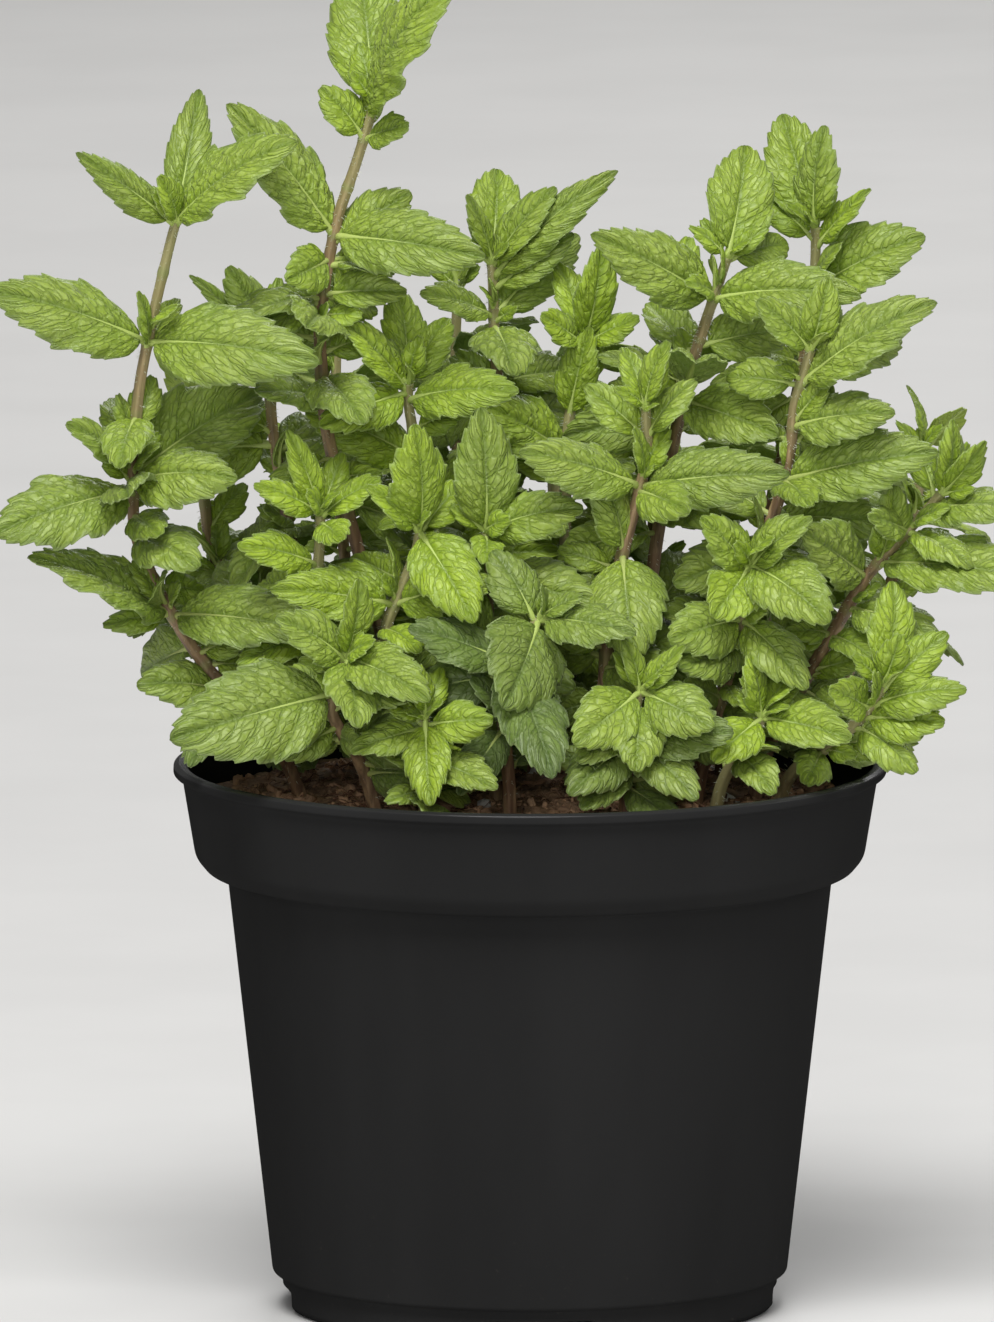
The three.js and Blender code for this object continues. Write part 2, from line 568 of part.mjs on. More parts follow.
    path: [[18, 104, -36], [20, 112, -36]],
    leaves: [[1, 6, 103, 17, 11, 1], [1, 33, 105, 16, 11, 1], [1, 17, 121, 10, 5, 1],
      [1, 28, 120, 12, 6, 1], [0, 7, 93, 18, 10, 1], [0, 30, 92, 18, 10, 1],
      [1, 20, 99, 15, 10, 1]],
  },
  {
    name: "front_right_rim", foot: [31, -25], colour: "young", lean: -16,
    path: [[39, 101, -31], [42, 107, -31]],
    leaves: [[1, 58, 103, 18, 10, 1], [1, 33, 99, 14, 9, 1], [1, 40, 118, 12, 8, 1],
      [0, 44, 93, 14, 8, 1], [1, 48, 116, 12, 7, -1]],
  },
  {
    name: "left_far", foot: [-37, 24], colour: "full",
    path: [[-55, 125, 24], [-60, 148, 27], [-60, 160, 28]],
    leaves: [],
    grown: { pairs: 4, turn: 112, size: 24 },
  },
  {
    name: "back_left", foot: [-28, 38], colour: "full",
    path: [[-33, 125, 46], [-36, 160, 52], [-35, 182, 54]],
    leaves: [],
    grown: { pairs: 5, turn: 75, size: 25 },
  },
  {
    name: "back_centre_left", foot: [-10, 30], colour: "full",
    path: [[-12, 130, 34], [-14, 165, 36], [-13, 186, 38]],
    leaves: [],
    grown: { pairs: 5, turn: 35, size: 24 },
  },
  {
    name: "back_centre", foot: [4, 46], colour: "old",
    path: [[5, 125, 58], [4, 152, 66], [5, 168, 69]],
    leaves: [],
    grown: { pairs: 4, turn: 60, size: 26 },
  },
  {
    name: "back_centre_right", foot: [20, 30], colour: "full",
    path: [[22, 130, 36], [24, 164, 38], [26, 184, 39]],
    leaves: [],
    grown: { pairs: 5, turn: 80, size: 24 },
  },
  {
    name: "back_right", foot: [36, 34], colour: "full",
    path: [[46, 125, 46], [52, 150, 52], [53, 168, 54]],
    leaves: [],
    grown: { pairs: 4, turn: 15, size: 25 },
  },
  {
    name: "right_far", foot: [48, 11], colour: "full",
    path: [[62, 122, 16], [70, 142, 18], [72, 156, 19]],
    leaves: [],
    grown: { pairs: 4, turn: 50, size: 21 },
  },
];

// ---------------------------------------------------------------- growth

const boxesMeet = (a, b) => a.min.every((low, i) => low < b.max[i] && b.min[i] < a.max[i]);

// True if the solid crosses one of the others.
function crosses(solid, others) {
  const box = solid.boundingBox();
  return others.some((other) =>
    boxesMeet(box, other.box) && !solid.intersect(other.solid).isEmpty());
}

const withBox = (solid, owner) => ({ solid, owner, box: solid.boundingBox() });

// The first try that is clear of everything else, and if it can be of the stem's own leaves too.
function settle(curve, spec, others, own) {
  let second = null;
  for (const change of TRIES) {
    const leaf = leafOn(curve, spec, change);
    if (crosses(blade(leaf, PROBE, 1.04), others)) continue;
    const solid = blade(leaf, BLADE, 1);
    const shared = own.some((other) => boxesMeet(solid.boundingBox(), other.box) &&
      solid.intersect(other.solid).volume() > OWN_OVERLAP);
    if (!shared) return solid;
    second ??= solid;
  }
  return second;
}

function growPlant(pot, soilBlock) {
  const plants = STEMS.map((stem, i) => {
    const curve = stemCurve(stem);
    const draw = draws(i + 1);
    const specs = [...readLeaves(stem, curve, draw), ...(stem.grown ? grownLeaves(stem, curve, draw) : [])];
    return { stem, curve, specs, stalk: stemTube(curve, 0), leaves: [] };
  });
  const taken = [withBox(pot, -1), withBox(soilBlock, -1)];
  plants.forEach((plant, i) => taken.push(withBox(stemTube(plant.curve, 0.3), i)));
  plants.forEach((plant, i) => {
    const others = taken.filter((other) => other.owner !== i);
    for (const spec of plant.specs) {
      const leaf = settle(plant.curve, spec, others, plant.leaves);
      if (leaf) plant.leaves.push(withBox(leaf, i));
    }
    taken.push(...plant.leaves);
  });
  return plants;
}

// ---------------------------------------------------------------- potting mix

// The mix as one closed body: crumbly on top, and following the pot's wall inside.
function soilBody() {
  const wall = [
    [FOOT_R - 4, FLOOR_TOP + GAP], [BODY_TOP_R - WALL - GAP, COLLAR_FOOT_Z + 0.4 + GAP],
    [COLLAR_FOOT_R - WALL - 1.5, COLLAR_FOOT_Z + WALL + GAP],
  ];
  const positions = [0, 0, FLOOR_TOP + GAP];
  const ring = (radius, height) => {
    for (let j = 0; j < POT_SIDES; j++) {
      const a = (2 * Math.PI * j) / POT_SIDES;
      const x = radius * Math.cos(a), y = radius * Math.sin(a);
      positions.push(x, y, height ?? soilHeight(x, y));
    }
  };
  wall.forEach(([r, z]) => ring(r, z));
  const top = [SOIL_R, 46, 24];
  top.forEach((r) => ring(r));
  positions.push(0, 0, soilHeight(0, 0));
  const rows = wall.length + top.length;
  const indices = [];
  for (let j = 0; j < POT_SIDES; j++) {
    const k = (j + 1) % POT_SIDES;
    indices.push(0, 1 + k, 1 + j);
    for (let i = 0; i + 1 < rows; i++) {
      const a = 1 + i * POT_SIDES, b = a + POT_SIDES;
      indices.push(a + j, a + k, b + k, a + j, b + k, b + j);
    }
    const last = 1 + (rows - 1) * POT_SIDES;
    indices.push(last + j, last + k, last + POT_SIDES);
  }
  return solidFrom(positions, indices);
}

// ---------------------------------------------------------------- the object

const group = new THREE.Group();
const pot = makePot();
const wholeSoil = soilBody();
const plants = growPlant(pot, wholeSoil);
let soil = wholeSoil;
plants.forEach(({ curve }) => (soil = soil.subtract(stemHole(curve))));

group.add(meshOf(pot, "pot", COLOURS.pot));
group.add(meshOf(soil, "potting_mix", COLOURS.soil));
for (const { stem, stalk, leaves } of plants) {
  const whole = wasm.Manifold.union([stalk, ...leaves.map(({ solid }) => solid)]);
  group.add(meshOf(whole, "stem_" + stem.name, COLOURS[stem.colour]));
}

export default group;
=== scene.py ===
"""A potted mint: a black nursery pot, moist potting mix and the leafy stems that grow out of it.

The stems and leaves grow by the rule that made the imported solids, in millimetres, and the packed
vertices say which of a leaf's small turns it took to find clear room. Each is then built fine.
"""

import math
from functools import partial

import bmesh
import bpy
import numpy as np
from mathutils import Matrix, Vector, kdtree, noise


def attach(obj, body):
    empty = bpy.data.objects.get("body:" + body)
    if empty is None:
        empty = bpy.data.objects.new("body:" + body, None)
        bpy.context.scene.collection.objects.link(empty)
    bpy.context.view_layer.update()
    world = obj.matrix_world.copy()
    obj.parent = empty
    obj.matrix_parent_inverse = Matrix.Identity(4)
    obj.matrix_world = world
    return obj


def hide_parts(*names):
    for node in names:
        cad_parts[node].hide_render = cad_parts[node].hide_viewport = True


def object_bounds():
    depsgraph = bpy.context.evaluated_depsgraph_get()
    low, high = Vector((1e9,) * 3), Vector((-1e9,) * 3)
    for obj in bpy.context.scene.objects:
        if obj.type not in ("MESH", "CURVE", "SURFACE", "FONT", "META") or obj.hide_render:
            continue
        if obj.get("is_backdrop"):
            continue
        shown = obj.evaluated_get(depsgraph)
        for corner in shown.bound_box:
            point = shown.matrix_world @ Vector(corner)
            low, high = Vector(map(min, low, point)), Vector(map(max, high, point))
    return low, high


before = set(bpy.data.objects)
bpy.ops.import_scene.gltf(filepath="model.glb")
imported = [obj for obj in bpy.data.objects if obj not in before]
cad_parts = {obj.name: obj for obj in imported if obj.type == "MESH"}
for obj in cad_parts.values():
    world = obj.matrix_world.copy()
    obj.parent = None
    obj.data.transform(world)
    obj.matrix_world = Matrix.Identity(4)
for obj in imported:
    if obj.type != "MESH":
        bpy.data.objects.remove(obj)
cad_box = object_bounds()

MM = 0.001  # the growth rule and every size below is in millimetres

# -------- driving sizes

POT_HEIGHT = 100
LIP_R = 65
COLLAR_TOP_R = 63.4
COLLAR_FOOT_R = 61
COLLAR_FOOT_Z = 80.5
BODY_TOP_R = 55.2
BODY_FOOT_R = 47
FOOT_R = 45
STEP_Z = 6
WALL = 1.2
FLOOR_UNDER = 3.2
FLOOR_TOP = 4.6
PAD_R = 13
POT_SIDES = 192
NOTCHES = 4
NOTCH_WIDTH = 20
NOTCH_TOP = 4
NOTCH_TURN = 2.5  # degrees, of the front notch
DRAIN_R = 4
DRAIN_RING_R = 33

GAP = 0.35  # between pieces that touch
SOIL_Z = 94
SOIL_R = 60.5
LEAN_Z = 90.5  # the height at which a stem's lean starts

VIEW_TILT = math.radians(8.3)
STEM_FOOT = 1.5  # half the diagonal of the square stem, at the mix
STEM_TOP = 0.95
STEM_DEPTH = 12  # of a stem's foot in the mix
PETIOLE = 2.1  # length of a leaf's stalk
HIGHEST = 0.985  # share of the stem up to which leaves stand
PAIR_STEP = 0.14  # between pairs at one joint, as a share of the run below it
LONGER = 1.08  # leaves than they read from the front
WIDER = 1.12
FRONT = np.array([0.0, -1.1, 0.0])  # which way and how strongly leaves turn their faces
BARE = 0.34  # share of a hidden stem below its first leaves
SOLID_BLADE = 0.7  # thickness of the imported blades

BLADE = 0.34  # thickness of the fine blades


# -------- growth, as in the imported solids


def draws(seed):
    """Numbers from 0 to 1, the same for the same seed, so every run grows the same plant."""
    state = (seed * 7919 + 101) % 2147483647
    while True:
        state = state * 16807 % 2147483647
        yield state / 2147483647


def unit(v):
    return v / np.linalg.norm(v)


def turned(v, axis, angle):
    """v turned about a unit axis."""
    c, s = math.cos(angle), math.sin(angle)
    return v * c + np.cross(axis, v) * s + axis * (axis @ v) * (1 - c)


def seen(x, v, y):
    """A place from how far right it is seen, how high it is seen and how far back it lies."""
    return np.array([x, y, (v - y * math.sin(VIEW_TILT)) / math.cos(VIEW_TILT)], float)


def soil_height(x, y):
    """The height of the mix: a low mound with coarse crumbs."""
    crumbs = np.sin(x * 0.55 + 1.3) * np.cos(y * 0.47) + np.sin(x * 0.21 - y * 0.33)
    return SOIL_Z + 1.2 - (x * x + y * y) / SOIL_R**2 * 2.2 + crumbs * 0.45


class Stem:
    """A stem as straight runs, from halfway between two joints to halfway between the next two."""

    def __init__(self, plan):
        x, y = plan["foot"]
        ground = soil_height(x, y)
        lean, path = plan["lean"], plan["path"]
        joints = [seen(px, pv, py + lean * (pv - LEAN_Z) / 100) for px, pv, py in path]
        self.joints = [np.array([x, y, ground - STEM_DEPTH]), np.array([x, y, ground]), *joints]
        self.last = len(self.joints) - 1
        self.shares = [0, *[(i + 1.5) / self.last for i in range(self.last - 1)], 1]
        self.middles = [self.curve(t) for t in self.shares]

    def curve(self, t):
        """A smooth curve through the joints."""
        p = self.joints
        i = min(int(t * self.last), self.last - 1)
        w = t * self.last - i
        before = p[i - 1] if i > 0 else 2 * p[0] - p[1]
        after = p[i + 2] if i + 2 <= self.last else 2 * p[-1] - p[-2]
        a, b = (p[i + 1] - before) / 2, (after - p[i]) / 2
        return (p[i] + a * w + (3 * (p[i + 1] - p[i]) - 2 * a - b) * w**2
                + (2 * (p[i] - p[i + 1]) + a + b) * w**3)

    def run(self, t):
        inner = [j for j, share in enumerate(self.shares[:-1]) if share <= t]
        i = inner[-1] if inner else 0
        return i, (t - self.shares[i]) / (self.shares[i + 1] - self.shares[i])

    def point(self, t):
        i, part = self.run(t)
        return self.middles[i] * (1 - part) + self.middles[i + 1] * part

    def along(self, t):
        i, _ = self.run(t)
        return unit(self.middles[i + 1] - self.middles[i])

    @staticmethod
    def half(t):
        """Half the diagonal of the square stem."""
        return STEM_FOOT + (STEM_TOP - STEM_FOOT) * t


def chord_to(base, tip_x, tip_v, length, forward):
    """The chord that ends at a seen point, with its true length: forward of the stem or behind it."""
    s, c = math.sin(VIEW_TILT), math.cos(VIEW_TILT)
    a = tip_x - base[0]
    b = tip_v - (base[2] * c + base[1] * s)
    k = 1 + s * s / (c * c)
    half = b * s / (c * c)
    rest = a * a + b * b / (c * c) - length * length
    y = (half - forward * math.sqrt(max(half * half - k * rest, 0))) / k
    return np.array([a, y, (b - y * s) / c])


def sway(draw):
    """How far a leaf bows, folds along its rib and rolls on its stalk, in radians."""
    return dict(bow=0.35 + next(draw) * 0.55, fold=0.12 + next(draw) * 0.3,
                roll=(next(draw) - 0.5) * 0.5)


def read_leaves(plan, stem, draw):
    """Leaves read one by one from the front."""
    grown = {}
    for place, tip_x, tip_v, length, width, *back in plan["leaves"]:
        before = grown.get(place, 0)
        grown[place] = before + 1
        at = (place + 2 - PAIR_STEP * (before // 2)) / stem.last
        base = stem.point(min(at, HIGHEST))
        chord = chord_to(base, tip_x, tip_v, length * LONGER, -1 if back else 1)
        real = np.linalg.norm(chord)
        yield dict(at=at, chord=chord / real, length=real, width=width * WIDER, open=FRONT,
                   **sway(draw))


def grown_leaves(plan, stem, draw):
    """Opposite pairs, each a quarter turn on from the last, smaller and steeper towards the tip."""
    pairs, turn, size = plan["grown"]
    outward = unit(np.array([*plan["foot"], 0.0])) * 0.6
    for i in range(pairs):
        share = i / (pairs - 1)
        at = BARE + (1 - BARE) * share
        young = max(0, (share - 0.55) / 0.45)
        for half in (0, 180):
            angle = math.radians(turn + 90 * i + half + (next(draw) - 0.5) * 30)
            lift = math.radians(-12 + 22 * share + 48 * young**2 + (next(draw) - 0.5) * 22)
            length = size * (0.86 + 0.3 * next(draw)) * (1 - 0.42 * young)
            out = np.array([math.cos(angle), math.sin(angle), 0])
            along = stem.along(min(at, HIGHEST))
            flat = unit(out - along * (out @ along))
            chord = unit(flat * math.cos(lift) + along * math.sin(lift))
            width = length * (0.52 + 0.12 * next(draw))
            yield dict(at=at, chord=chord, length=length, width=width, open=outward, **sway(draw))


# Small changes that a leaf makes to find clear room: turn, lift, and share of its size.
TRIES = [
    (0, 0, 1), (10, 0, 1), (-10, 0, 1), (0, 10, 1), (0, -10, 1), (16, 9, 0.95), (-16, 9, 0.95),
    (16, -11, 0.95), (-16, -11, 0.95), (26, 0, 0.88), (-26, 0, 0.88), (0, 22, 0.88), (0, -22, 0.88),
    (0, 0, 0.78), (22, 16, 0.78), (-22, 16, 0.78), (38, 0, 0.7), (-38, 0, 0.7), (0, 0, 0.62),
    (30, 24, 0.6), (-30, 24, 0.6), (50, 0, 0.55), (-50, 0, 0.55), (0, 0, 0.45),
]


class Leaf:
    """A leaf on its stem: its chord, its faces turned to the light, its bow and its fold."""

    def __init__(self, stem, spec, change):
        turn, lift, size = change
        self.t = min(spec["at"], HIGHEST)
        self.base = stem.point(self.t)
        along = stem.along(self.t)
        chord = turned(spec["chord"], along, math.radians(turn))
        chord = turned(chord, unit(np.cross(chord, along)), math.radians(lift))
        light = along + spec["open"] * (1.25 - (chord @ along) ** 2)
        normal = turned(unit(light - chord * (light @ chord)), chord, spec["roll"])
        self.chord, self.normal, self.side = chord, normal, np.cross(chord, normal)
        self.length, self.width = spec["length"] * size, spec["width"] * size
        self.bow, self.fold = spec["bow"], spec["fold"]
        self.stalk = min(PETIOLE / self.length, 0.3)

    def place(self, share, across, up):
        """Points of the blade: a bow over the chord, folded up along its rib."""
        phi = self.bow * (0.5 - share)
        radius = self.length / (2 * math.sin(self.bow / 2))
        along = radius * (math.sin(self.bow / 2) - np.sin(phi))
        height = radius * (np.cos(phi) - math.cos(self.bow / 2))
        lift = np.abs(across) * math.sin(self.fold) + up
        return (self.base + np.multiply.outer(along - lift * np.sin(phi), self.chord)
                + np.multiply.outer(height + lift * np.cos(phi), self.normal)
                + np.multiply.outer(across * math.cos(self.fold), self.side))


def packed_tree(node):
    """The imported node's vertices, for looking up which way a leaf lies."""
    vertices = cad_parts[node].data.vertices
    tree = kdtree.KDTree(len(vertices))
    for i, vertex in enumerate(vertices):
        tree.insert(vertex.co, i)
    tree.balance()
    return tree


def settled(stem, spec, tree):
    """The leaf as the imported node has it: the way whose tip is one of the node's vertices."""
    close = 0.02 * MM
    for change in TRIES:
        leaf = Leaf(stem, spec, change)
        tips = [leaf.place(1.0, 0.0, up) * MM for up in (SOLID_BLADE / 2, -SOLID_BLADE / 2)]
        if any(tree.find(Vector(tip))[2] < close for tip in tips):
            return leaf
    return None


# -------- the stems, read from the front

FIELDS = ("name", "colour", "foot", "lean", "path", "leaves", "grown")

# A foot is how far right and back it stands. A path has joints, each as how far right, how high and
# how far back it is seen. A leaf has its place on the stem, how far right and how high its tip is
# seen, its length, its width, and -1 if it points back. A grown stem has its pairs of leaves, the
# turn of the first one and their length.
STEMS = [dict(zip(FIELDS, row)) for row in [
    ("left_tall", "full", (-38, 4), -12,
     [(-52, 106, -8), (-59, 118, -8), (-65, 123.5, -8), (-70, 137, -8), (-73, 145, -8),
      (-71, 165, -7), (-70, 172, -6), (-66, 190, -5), (-64, 197, -5)],
     [(2, -91, 136, 29, 16), (2, -38, 122, 29, 14), (4, -97, 140, 27, 16), (3.7, -67, 140, 13, 8),
      (4.3, -84, 160, 17, 8), (4.55, -76, 165, 15, 8, -1), (4.1, -53, 150, 22, 13),
      (3.4, -60, 134, 18, 11), (4.2, -49, 166, 31, 17, -1), (6, -98, 184, 31, 14),
      (6, -38, 171, 33, 16), (6, -71, 184, 12, 5), (6, -64, 183, 13, 6, -1), (8, -82, 209, 23, 7),
      (8, -42, 211, 27, 15), (8, -60, 221, 25, 8, -1)]),
    ("centre_left_tall", "full", (-20, 4), -6,
     [(-26, 120, 0), (-34, 146, -4), (-39, 170, -6), (-37, 185, -6), (-36, 194, -6), (-33, 203, -5),
      (-30, 212, -5), (-28, 219, -5)],
     [(4, -57, 214, 31, 15), (4, -8, 190, 29, 13), (6, -38, 221, 12, 8), (6, -22, 214, 11, 7),
      (7, -31, 243, 27, 14, -1), (6.5, -14, 240, 31, 16), (7, -26, 229, 13, 7),
      (2, -30, 160, 20, 12), (1, -18, 140, 22, 13, -1)]),
    ("left_inner", "full", (-25, 14), 0,
     [(-40, 122, 10), (-45, 150, 10), (-48, 165, 10), (-47, 176, 10)],
     [(3, -55, 189, 15, 8), (2.6, -62, 187.5, 20, 6), (3, -36, 187, 16, 9), (2.6, -28, 176, 21, 11),
      (3, -46, 188, 12, 6, -1), (1.4, -62, 160, 22, 13, -1), (1, -30, 150, 22, 12),
      (0.6, -58, 138, 23, 13, -1)]),
    ("centre_tuft", "young", (-10, 14), -16,
     [(-13, 120, 12), (-18, 145, 8), (-22, 160, 4), (-22, 168, 3)],
     [(2.7, -34, 179, 18, 9), (3, -24, 185, 18, 9, -1), (2.8, -13, 181, 16, 9, -1),
      (2.5, -2, 166, 23, 11), (3, -20, 176, 9, 5), (2.7, -38, 163, 19, 10), (2, -12, 162, 11, 6),
      (1.2, -2, 150, 21, 12), (1.2, -33, 148, 20, 12, -1)]),
    ("centre_light", "young", (-18, -15), -20,
     [(-28, 113, -18), (-24, 129, -16), (-21, 135, -15), (-20, 141, -15)],
     [(1, -47, 130, 23, 11), (1, -6, 131, 20, 11), (3, -21, 160, 20, 12), (3, -10, 124, 21, 12),
      (3, -12, 150, 14, 8, -1), (3, -29, 148, 13, 7), (0, -42, 117, 18, 11),
      (0, -16, 118, 16, 10, -1)]),
    ("left_small", "young", (-25, -5), -18,
     [(-38, 118, -13), (-38, 136, -12), (-38, 144, -12)],
     [(2, -44, 159, 16, 6), (2, -50, 149, 14, 7), (2, -34, 155, 12, 6, -1), (2, -27, 150, 13, 7),
      (2, -34, 139, 11, 7), (1, -53, 138, 17, 9), (0, -55, 112, 19, 11)]),
    ("centre_back", "full", (-1, 20), 0,
     [(0, 120, 18), (-3, 145, 15), (-6, 165, 13), (-6.5, 181, 12), (-7, 190, 12)],
     [(3, -20, 184, 16, 8), (3, 9, 195, 22, 11, -1), (3, -3, 169, 17, 12), (4, -11.5, 202, 14, 6),
      (4, -6, 207, 18, 11, -1), (4, 1, 206, 19, 9), (3.6, 11, 211, 30, 9), (3.4, 8, 195, 17, 8),
      (2, 12, 160, 21, 12, -1), (2, -20, 157, 20, 11, -1), (1, 12, 138, 21, 12)]),
    ("centre_upright", "young", (8, 12), 0,
     [(7, 128, 10), (6, 152, 9), (8, 166, 8), (10, 176, 8)],
     [(3, 13, 193, 18, 8), (3, 6, 190, 15, 7, -1), (3, 18, 182, 12, 7), (3, 2, 180, 11, 7),
      (1.6, 11, 178, 17, 8), (2, 20, 162, 15, 9, -1), (1, -8, 158, 17, 10),
      (1, 22, 146, 20, 11, -1)]),
    ("right_tall_near", "full", (20, 2), -5,
     [(21, 122, 2), (24, 146, 1), (28, 166, 0), (31, 176, 0), (33, 182, 0), (36, 191, 0)],
     [(4, 11, 194.5, 26, 12), (4, 60, 183, 28, 13), (5, 39, 211, 21, 13, -1), (5, 29, 196, 9, 4),
      (5, 43, 196, 9, 4), (5, 47, 193, 15, 9, -1), (2, 45, 158, 21, 12), (2, 13, 166, 19, 11, -1),
      (1, 34, 142, 16, 11), (1, 40, 153, 20, 11, -1)]),
    ("right_tall_far", "full", (34, 16), 0,
     [(39, 124, 17), (45, 150, 16), (50, 171, 15), (52, 185, 14), (52, 197, 13)],
     [(3, 72, 194.5, 22, 14), (3, 36, 178, 18, 11, -1), (4, 46, 217, 21, 13, -1),
      (4, 57, 214, 18, 9), (3.6, 62, 203, 15, 7), (3.7, 43, 204, 13, 7), (4, 53, 209, 12, 6),
      (2, 68, 176, 21, 12, -1), (2, 33, 168, 20, 11, -1), (1, 64, 156, 22, 12, -1)]),
    ("right_front", "full", (27, -5), -16,
     [(34, 120, -8), (41, 137, -8), (47, 150, -7), (47, 160, -6), (49, 167, -6), (51, 174, -6)],
     [(5, 52, 193, 21, 14, -1), (5, 60, 186, 15, 8), (5, 43, 184, 14, 8), (4, 74, 183, 28, 13),
      (3, 66, 162, 20, 11), (4, 37, 169, 14, 9, -1), (2, 74, 155, 28, 13), (2, 54, 142, 15, 9),
      (1, 26, 131, 18, 11)]),
    ("centre_right", "full", (12, -12), -20,
     [(14, 120, -13), (16, 137, -13), (21, 149, -11), (21, 158, -10), (21, 163, -10)],
     [(1, 18.5, 117, 22, 14), (1, 12, 152, 16, 10), (2, 47, 151, 27, 12), (2, -2, 155, 24, 11),
      (4, 17, 174, 12, 6, -1), (4, 25, 175, 13, 6), (3, 30, 168, 13, 8), (3, 10, 167, 13, 8),
      (0, 30, 120, 17, 11)]),
    ("centre_low", "full", (-6, -10), -22,
     [(-7, 118, -10), (-8, 131, -10), (-8, 141, -10)],
     [(2, -6, 162, 22, 12), (2, 7, 147, 19, 11), (2, -18, 134, 15, 9), (1, 10, 127, 21, 13),
      (1, -20, 116, 20, 12), (0, 8, 112, 18, 12)]),
    ("right_leaning", "full", (38, -4), -14,
     [(50, 113, -8), (58, 128, -9), (63, 135, -10), (68, 140, -10), (75, 148, -10)],
     [(4, 76.5, 161, 14, 7), (4, 84, 158, 14, 7), (3.8, 69, 158, 13, 7, -1), (3.6, 91, 145, 19, 10),
      (4, 77, 153, 8, 5), (2, 93, 131, 31, 14), (2, 66, 149, 15, 9), (3, 57, 148, 15, 8),
      (3, 80, 134, 15, 9), (1, 74, 121, 19, 11), (0, 62, 104, 17, 11, -1)]),
    ("right_low", "young", (41, -13), -12,
     [(54, 102, -24), (61, 107, -27), (64, 113, -28)],
     [(2, 64, 131, 18, 9, -1), (2, 67, 122, 10, 6), (1.7, 75, 123, 15, 8, -1),
      (1.3, 79, 112, 17, 9), (0.9, 75, 106, 15, 9), (0.6, 70, 97, 14, 9), (1.2, 54, 112, 12, 8),
      (0, 51, 91, 13, 8)]),
    ("right_middle", "full", (28, -14), -20,
     [(36, 112, -19), (38, 125, -20), (40, 135, -20)],
     [(2, 54, 124, 20, 13), (2, 33, 125, 14, 11), (2, 29, 141, 14, 9), (2, 51, 143, 15, 9),
      (1, 50, 112, 18, 11), (1, 23, 122, 17, 11), (0, 28, 113, 12, 8)]),
    ("front_left", "full", (-25, -25), -20,
     [(-35, 104, -32), (-36, 111, -32), (-33, 118, -31)],
     [(1, -65, 103, 31, 18), (1, -22, 110, 15, 9), (2, -29, 101, 19, 11), (2, -15, 105, 23, 12),
      (2, -46, 125, 16, 10), (2, -31, 132, 15, 8)]),
    ("front_centre_left", "young", (-19, -37), -16,
     [(-19, 101, -39), (-19, 107, -39)],
     [(1, -18, 91, 17, 9), (0.6, -31, 100, 14, 8), (0.7, -8, 106, 13, 8), (1, -21, 117, 11, 6),
      (1, -16, 116, 10, 5, -1), (0, -6, 94, 16, 9)]),
    ("front_centre", "old", (-3, -28), -20,
     [(-5, 106, -30), (-5, 117, -29), (2, 125, -28)],
     [(1, 4, 96, 27, 13), (1, -21, 122, 19, 11), (2, -3, 107, 20, 17), (2, 19, 122, 19, 12),
      (2, -8, 136, 15, 10, -1), (0, -13, 93, 17, 8)]),
    ("front_right", "full", (17, -34), -16,
     [(18, 104, -36), (20, 112, -36)],
     [(1, 6, 103, 17, 11), (1, 33, 105, 16, 11), (1, 17, 121, 10, 5), (1, 28, 120, 12, 6),
      (0, 7, 93, 18, 10), (0, 30, 92, 18, 10), (1, 20, 99, 15, 10)]),
    ("front_right_rim", "young", (31, -25), -16,
     [(39, 101, -31), (42, 107, -31)],
     [(1, 58, 103, 18, 10), (1, 33, 99, 14, 9), (1, 40, 118, 12, 8), (0, 44, 93, 14, 8),
      (1, 48, 116, 12, 7, -1)]),
    ("left_far", "full", (-37, 24), 0,
     [(-55, 125, 24), (-60, 148, 27), (-60, 160, 28)],
     [], (4, 112, 24)),
    ("back_left", "full", (-28, 38), 0,
     [(-33, 125, 46), (-36, 160, 52), (-35, 182, 54)],
     [], (5, 75, 25)),
    ("back_centre_left", "full", (-10, 30), 0,
     [(-12, 130, 34), (-14, 165, 36), (-13, 186, 38)],
     [], (5, 35, 24)),
    ("back_centre", "old", (4, 46), 0,
     [(5, 125, 58), (4, 152, 66), (5, 168, 69)],
     [], (4, 60, 26)),
    ("back_centre_right", "full", (20, 30), 0,
     [(22, 130, 36), (24, 164, 38), (26, 184, 39)],
     [], (5, 80, 24)),
    ("back_right", "full", (36, 34), 0,
     [(46, 125, 46), (52, 150, 52), (53, 168, 54)],
     [], (4, 15, 25)),
    ("right_far", "full", (48, 11), 0,
     [(62, 122, 16), (70, 142, 18), (72, 156, 19)],
     [], (4, 50, 21)),
]]


# -------- meshes


def placed(name, data):
    """A new object in the scene."""
    thing = bpy.data.objects.new(name, data)
    bpy.context.scene.collection.objects.link(thing)
    return thing


def finished(piece, finish, slot, *nodes):
    """Gives a piece its finish, on the plant's one body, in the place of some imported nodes."""
    piece.data.materials.append(finish)
    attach(piece, "root")
    if nodes:
        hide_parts(*nodes)


